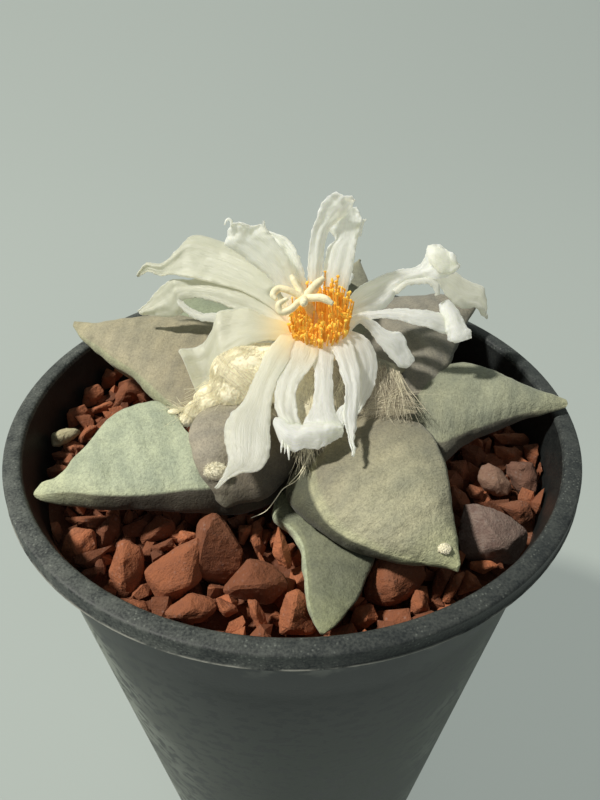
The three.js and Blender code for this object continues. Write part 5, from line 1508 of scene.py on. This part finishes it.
def petal(name, shape, thickness, seed, rings=80, columns=23):
    """Points, faces, UV, places along and tone of a petal, from its root to its crumpled end."""
    cup, pleats, crumple, tone, rows = shape
    times = np.linspace(0, 1, rings)
    low, high = (curve(edge, times) for edge in petal_edges(name, rows))
    wide = np.linalg.norm(high - low, axis=1)[:, None] / 2
    # Edges are torn a little
    far = np.clip(times * 3, 0, 1)[:, None]
    across = unit(high - low)
    for edge, way, shift in ((low, -1, 0.0), (high, 1, 50.0)):
        tear = ripple(edge, 1.3, seed + shift) * 0.16 + ripple(edge, 4.0, seed + shift) * 0.07
        edge += way * across * tear[:, None] * far
    u = np.linspace(-1, 1, columns)
    share = ((u + 1) / 2)[None, :, None]
    grid = low[:, None] * (1 - share) + high[:, None] * share
    normal = unit(np.cross(np.gradient((low + high) / 2, axis=0), across))
    normal *= np.where(np.sum(normal * DEPTH, axis=1) > 0, -1, 1)[:, None]
    # Cup, lengthwise pleats that wander, and a crumpled end
    wander = np.array([noise.noise(Vector((t * 2.2, seed * 2.7, 1.0))) for t in times])[:, None]
    lift = -cup * wide * (u ** 2 - 0.35)[None, :]
    fold = (np.sin(u[None, :] * 4.2 + seed + 2.6 * wander)
            + 0.4 * np.sin(u[None, :] * 9 + 2 * seed - 4 * wander))
    lift = lift + 0.8 * pleats * far * fold
    flat = (grid + lift[..., None] * normal[:, None]).reshape(-1, 3)
    strength = crumple * np.clip((times - 0.35) / 0.65, 0, 1) ** 1.3
    strength = np.repeat(strength, columns) * np.tile(0.6 + 0.4 * np.abs(u), rings)
    push = (ripple(flat, 0.42, seed) * 1.1 + ripple(flat, 0.95, seed + 5) * 0.6
            + ripple(flat, 2.2, seed + 7) * 0.22)
    flat = flat + np.repeat(normal, columns, 0) * (strength * push)[:, None]
    frill = np.tile(np.clip((np.abs(u) - 0.7) / 0.3, 0, 1) ** 2, rings) * ripple(flat, 1.5, seed + 13) * 0.35
    flat = flat + np.repeat(normal, columns, 0) * (frill * np.repeat(far[:, 0], columns))[:, None]
    grid = flat.reshape(rings, columns, 3)
    surface = unit(np.cross(np.gradient(grid, axis=0), np.gradient(grid, axis=1)))
    half = thickness / 2 / MM
    points = np.concatenate([(grid + surface * half).reshape(-1, 3),
                             (grid - surface * half).reshape(-1, 3)])
    back, last, end = rings * columns, columns - 1, rings - 1

    def spot(i, j, low=False):
        return i * columns + j + (back if low else 0)

    faces = []
    for i in range(end):
        for j in range(last):
            faces.append((spot(i, j), spot(i + 1, j), spot(i + 1, j + 1), spot(i, j + 1)))
            faces.append((spot(i, j, True), spot(i, j + 1, True), spot(i + 1, j + 1, True),
                          spot(i + 1, j, True)))
        faces.append((spot(i, 0), spot(i, 0, True), spot(i + 1, 0, True), spot(i + 1, 0)))
        faces.append((spot(i, last), spot(i + 1, last), spot(i + 1, last, True), spot(i, last, True)))
    for j in range(last):
        faces.append((spot(0, j), spot(0, j + 1), spot(0, j + 1, True), spot(0, j, True)))
        faces.append((spot(end, j), spot(end, j, True), spot(end, j + 1, True), spot(end, j + 1)))
    uv = np.tile(np.stack([np.tile(u, rings) * 0.5 + seed, np.repeat(times, columns) * 2.5], 1), (2, 1))
    reach = np.linalg.norm((grid - THROAT - (0, 0, 15)), axis=2).ravel()
    return points, faces, uv, np.tile(np.clip(reach / 26, 0, 1), 2), tone


def make_petals(settings):
    finish = petal_finish(settings)
    flower = Build()
    for i, (name, shape) in enumerate({**PETALS, **BACK_PETALS}.items()):
        points, faces, uv, along, tone = petal(name, shape, settings.thickness, i + 1)
        flower.add(points, faces, uv, along=along, tone=tone)
    path, radii = TENDRIL
    points, faces = stalk([shown(*place) for place in path], radii, 6, 20)
    flower.add(points, faces, along=1.0, tone=0.0)
    for path, radius in FRINGES:
        points, faces = stalk([shown(*place) for place in path], (radius, radius * 0.8, radius * 0.3), 6, 12)
        flower.add(points, faces, along=1.0, tone=0.2)
    tube, faces = lathe([(0, 8.2), (3.2, 8.5), (3.7, 10.4), (4.7, 12.4), (5.0, THROAT_TOP), (4.7, THROAT_TOP),
                         (3.4, 11.2), (2.7, 9.8), (0, 9.8)], 48)
    flower.add(tube + THROAT, faces, along=0.04, tone=0.4)
    settle(flower.piece("open_petals", [finish]), "flower_petals")


GOLDEN_ANGLE = 2.39996


def anther_form():
    """A ball pinched in the middle, longer than wide."""
    points, faces = ball(2)
    pinch = 1 - 0.3 * np.exp(-(points[:, 0] / 0.25) ** 2)
    points[:, 1] *= pinch
    return points * (0.85, 0.7, 1.35), faces


def make_stamens(settings):
    random = np.random.default_rng(41)
    lines, thick, tones = [], [], []
    heads, turns, sizes, head_tones = [], [], [], []
    for i in range(settings.stamens):
        turn = GOLDEN_ANGLE * i + 0.3 * random.random()
        share = math.sqrt((i + 0.5) / settings.stamens)
        c, s = math.cos(turn), math.sin(turn)
        reach = 1.4 + 3.9 * share
        z = 18.6 - 1.6 * share ** 2 + (0.9 + 1.3 * share) * s + 1.1 * c + 1.1 * random.normal()
        z = max(z, 15.0 + 1.2 * random.random())
        reach += 0.35 * random.normal()
        foot = 1.2 + 2.2 * share
        tip = np.array((c * reach, s * reach, z)) + THROAT
        start = np.array((c * foot, s * foot, 12.6)) + THROAT
        middle = (start + tip) / 2 + (c * 0.4, s * 0.4, -0.2)
        lines.append(curve([start, middle, tip], np.linspace(0, 1, 5)))
        thick.append(np.array([1.1, 1.0, 0.95, 0.9, 0.75]))
        tones.append(0.1 + 0.85 * random.random())
        # Half of the front ones at the rim are bare stalks
        if share > 0.5 and s < 0.2 and random.random() < 0.5:
            continue
        heads.append(tip + (0, 0, 0.15))
        turns.append((0.7 * random.normal(), 0.7 * random.normal(), 6.28 * random.random()))
        sizes.append(0.2 + 0.14 * random.random())
        head_tones.append(random.random())
    filament = soft_finish("filament", (0.78, 0.32, 0.015), (1.0, 0.66, 0.13), 0.5, 700.0, 0.16)
    threads = strands("filaments", lines, thick, tones, 0.00017, 5, filament)
    pollen = soft_finish("anther", shade(settings.anther, 0.85), (1.0, 0.66, 0.1), 0.8, 1500.0, 0.3)
    kinds = kinds_of("anther", [anther_form()], pollen, True)
    anthers = scattered("anthers", kinds, pollen, heads, [0] * len(heads), turns, sizes, head_tones)
    settle(joined("stamens", [threads, anthers]), "flower_stamens")


# The top of the style, then the paths of the stigma's lobes, curled or straight, with their radii
STIGMA = (1.8, 0, 21.1)
STIGMA_LOBES = [
    ([STIGMA, (-0.8, 0.6, 22.2), (-2.3, 0.9, 22.3), (-3.2, 0.2, 21.7), (-2.7, -0.6, 21.1)], 0.52),
    ([STIGMA, (0.8, -0.8, 20.7), (-0.3, -1.8, 20), (-1.9, -2, 19.6), (-2.3, -1.5, 20.6),
      (-0.8, -0.9, 21.5)], 0.5),
    ([STIGMA, (0.7, 1.4, 22.6), (-0.3, 2.4, 24)], 0.5),
    ([STIGMA, (3.3, 1.6, 22.1), (5.1, 3.4, 23)], 0.62),
    ([STIGMA, (2.9, -0.4, 21.3), (4.7, -1, 21.6), (6.4, -1.9, 21)], 0.58),
    ([STIGMA, (1.75, -1.6, 21.3), (1.7, -2.6, 21.2)], 0.6),
    ([STIGMA, (3.2, 1.6, 21.3), (4.1, 2.6, 21.6)], 0.5),
]


def make_pistil():
    finish = soft_finish("stigma", (0.85, 0.52, 0.15), (0.98, 0.92, 0.64), 0.55, 900.0, 0.12)
    pistil = Build()
    points, faces = stalk([THROAT + (0, 0, 10.2), THROAT + (-0.1, 0, 14), (3.4, 0.5, 17.5), STIGMA],
                          (0.9, 0.8, 0.75, 0.9), 16, 24)
    pistil.add(points, faces, tone=0.2)
    for path, radius in STIGMA_LOBES:
        radii = (radius, 1.1 * radius, 1.1 * radius, 1.15 * radius, 1.1 * radius, 0.6 * radius)
        points, faces = stalk(path, radii, 14, 30)
        pistil.add(points, faces, tone=np.linspace(0.8, 1, len(points)))
    settle(pistil.piece("style_and_stigma", [finish]), "flower_pistil")


# Stage

def area_light(name, place, aim, size, power, color):
    light = bpy.data.lights.new(name, "AREA")
    light.shape = "DISK"
    light.size = size
    light.energy = power
    light.color = color
    lamp = placed(name, light)
    lamp.location = place
    lamp.rotation_euler = (Vector(aim) - Vector(place)).to_track_quat("-Z", "Y").to_euler()


def make_stage(settings):
    finish, tree, shader = new_finish("plain_backdrop")
    feed(tree, shader, Base_Color=settings.floor, Roughness=0.9, Emission_Color=settings.floor,
         Emission_Strength=1.55)
    # The floor bends up into the backdrop in a round of 0.9 m
    rows = [(y, 0.0) for y in (-2.0, -0.6, 0.0, 0.5)]
    rows += [(0.5 + 0.9 * math.sin(a), 0.9 - 0.9 * math.cos(a)) for a in np.linspace(0, math.pi / 2, 17)[1:]]
    rows += [(1.4, 1.8), (1.4, 3.0)]
    points = [(x, y, z) for y, z in rows for x in (-3.0, 3.0)]
    faces = [(2 * i, 2 * i + 1, 2 * i + 3, 2 * i + 2) for i in range(len(rows) - 1)]
    mesh = bpy.data.meshes.new("backdrop")
    mesh.from_pydata(points, [], faces)
    mesh.polygons.foreach_set("use_smooth", [True] * len(faces))
    mesh.materials.append(finish)
    backdrop = placed("backdrop", mesh)

    rim = RIM_HEIGHT * MM
    power = settings.key_power
    area_light("key", (-0.9, -0.08, rim + 1.27), (0, 0, rim), 0.15, power, (1.0, 0.965, 0.885))
    area_light("fill", (0.6, -0.9, rim + 0.81), (0, 0, rim), 0.7, 0.035 * power, (0.9, 0.96, 1.0))
    world = bpy.data.worlds.new("studio")
    world.use_nodes = True
    feed(world.node_tree, world.node_tree.nodes["Background"], Color=(0.9, 0.95, 0.93), Strength=0.08)
    bpy.context.scene.world = world
    bpy.context.scene.view_settings.view_transform = "Standard"

    lens = bpy.data.cameras.new("camera")
    lens.sensor_width = 36.0
    lens.lens = 36.0 * FOCAL / PICTURE[1]
    lens.clip_start = 0.005
    camera = placed("camera", lens)
    turn = Matrix((RIGHT, UP, -DEPTH)).transposed().to_4x4()
    camera.matrix_world = Matrix.Translation(Vector(at_rim(EYE))) @ turn
    bpy.context.scene.camera = camera


# Operators

class ARIOCARPUS_OT_pot(bpy.types.Operator):
    """Mould the nursery pot with its rolled rim and drain holes"""
    bl_idname = "ariocarpus.pot"
    bl_label = "Pot"

    def execute(self, context):
        make_pot(context.scene.ariocarpus_pot)
        make_mix()
        return {"FINISHED"}


class ARIOCARPUS_OT_grit(bpy.types.Operator):
    """Lay the broken clay over the soil"""
    bl_idname = "ariocarpus.grit"
    bl_label = "Clay grit"

    def execute(self, context):
        make_grit(context.scene.ariocarpus_grit)
        return {"FINISHED"}


class ARIOCARPUS_OT_stones(bpy.types.Operator):
    """Lay the loose stones on the grit"""
    bl_idname = "ariocarpus.stones"
    bl_label = "Loose stones"

    def execute(self, context):
        make_stones()
        return {"FINISHED"}


class ARIOCARPUS_OT_body(bpy.types.Operator):
    """Grow the tubercles from their stem"""
    bl_idname = "ariocarpus.body"
    bl_label = "Cactus body"

    def execute(self, context):
        make_body(context.scene.ariocarpus_plant)
        return {"FINISHED"}


class ARIOCARPUS_OT_wool(bpy.types.Operator):
    """Mat the wool in the crown and on the areoles"""
    bl_idname = "ariocarpus.wool"
    bl_label = "Wool"

    def execute(self, context):
        make_wool(context.scene.ariocarpus_plant)
        return {"FINISHED"}


class ARIOCARPUS_OT_petals(bpy.types.Operator):
    """Open the petals around their throat"""
    bl_idname = "ariocarpus.petals"
    bl_label = "Petals"

    def execute(self, context):
        make_petals(context.scene.ariocarpus_flower)
        return {"FINISHED"}


class ARIOCARPUS_OT_stamens(bpy.types.Operator):
    """Set the stamens in the throat"""
    bl_idname = "ariocarpus.stamens"
    bl_label = "Stamens"

    def execute(self, context):
        make_stamens(context.scene.ariocarpus_flower)
        return {"FINISHED"}


class ARIOCARPUS_OT_pistil(bpy.types.Operator):
    """Stand the style with its stigma lobes in the stamens"""
    bl_idname = "ariocarpus.pistil"
    bl_label = "Style and stigma"

    def execute(self, context):
        make_pistil()
        return {"FINISHED"}


class ARIOCARPUS_OT_stage(bpy.types.Operator):
    """Set the backdrop, the soft lights and the camera"""
    bl_idname = "ariocarpus.stage"
    bl_label = "Stage"

    def execute(self, context):
        make_stage(context.scene.ariocarpus_stage)
        return {"FINISHED"}


class ARIOCARPUS_PT_panel(bpy.types.Panel):
    """Everything that the plant is made of"""
    bl_idname = "ARIOCARPUS_PT_panel"
    bl_label = "Ariocarpus"
    bl_space_type = "VIEW_3D"
    bl_region_type = "UI"
    bl_category = "Ariocarpus"

    def draw(self, context):
        layout = self.layout
        for group in SETTINGS:
            owner = getattr(context.scene, group)
            for title in owner.__annotations__:
                layout.prop(owner, title)
        for step in STEPS:
            layout.operator(step.bl_idname)


STEPS = (ARIOCARPUS_OT_pot, ARIOCARPUS_OT_grit, ARIOCARPUS_OT_stones, ARIOCARPUS_OT_body, ARIOCARPUS_OT_wool,
         ARIOCARPUS_OT_petals, ARIOCARPUS_OT_stamens, ARIOCARPUS_OT_pistil, ARIOCARPUS_OT_stage)
SETTINGS = {
    "ariocarpus_pot": ARIOCARPUS_PG_pot,
    "ariocarpus_grit": ARIOCARPUS_PG_grit,
    "ariocarpus_plant": ARIOCARPUS_PG_plant,
    "ariocarpus_flower": ARIOCARPUS_PG_flower,
    "ariocarpus_stage": ARIOCARPUS_PG_stage,
}


def register():
    for name, group in SETTINGS.items():
        bpy.utils.register_class(group)
        setattr(bpy.types.Scene, name, PointerProperty(type=group))
    for step in STEPS:
        bpy.utils.register_class(step)
    bpy.utils.register_class(ARIOCARPUS_PT_panel)


def unregister():
    bpy.utils.unregister_class(ARIOCARPUS_PT_panel)
    for step in reversed(STEPS):
        bpy.utils.unregister_class(step)
    for name, group in reversed(SETTINGS.items()):
        delattr(bpy.types.Scene, name)
        bpy.utils.unregister_class(group)


def main():
    register()
    bpy.ops.ariocarpus.pot()
    bpy.ops.ariocarpus.grit()
    bpy.ops.ariocarpus.stones()
    bpy.ops.ariocarpus.body()
    bpy.ops.ariocarpus.wool()
    bpy.ops.ariocarpus.petals()
    bpy.ops.ariocarpus.stamens()
    bpy.ops.ariocarpus.pistil()
    bpy.ops.ariocarpus.stage()


if __name__ == "__main__":
    main()
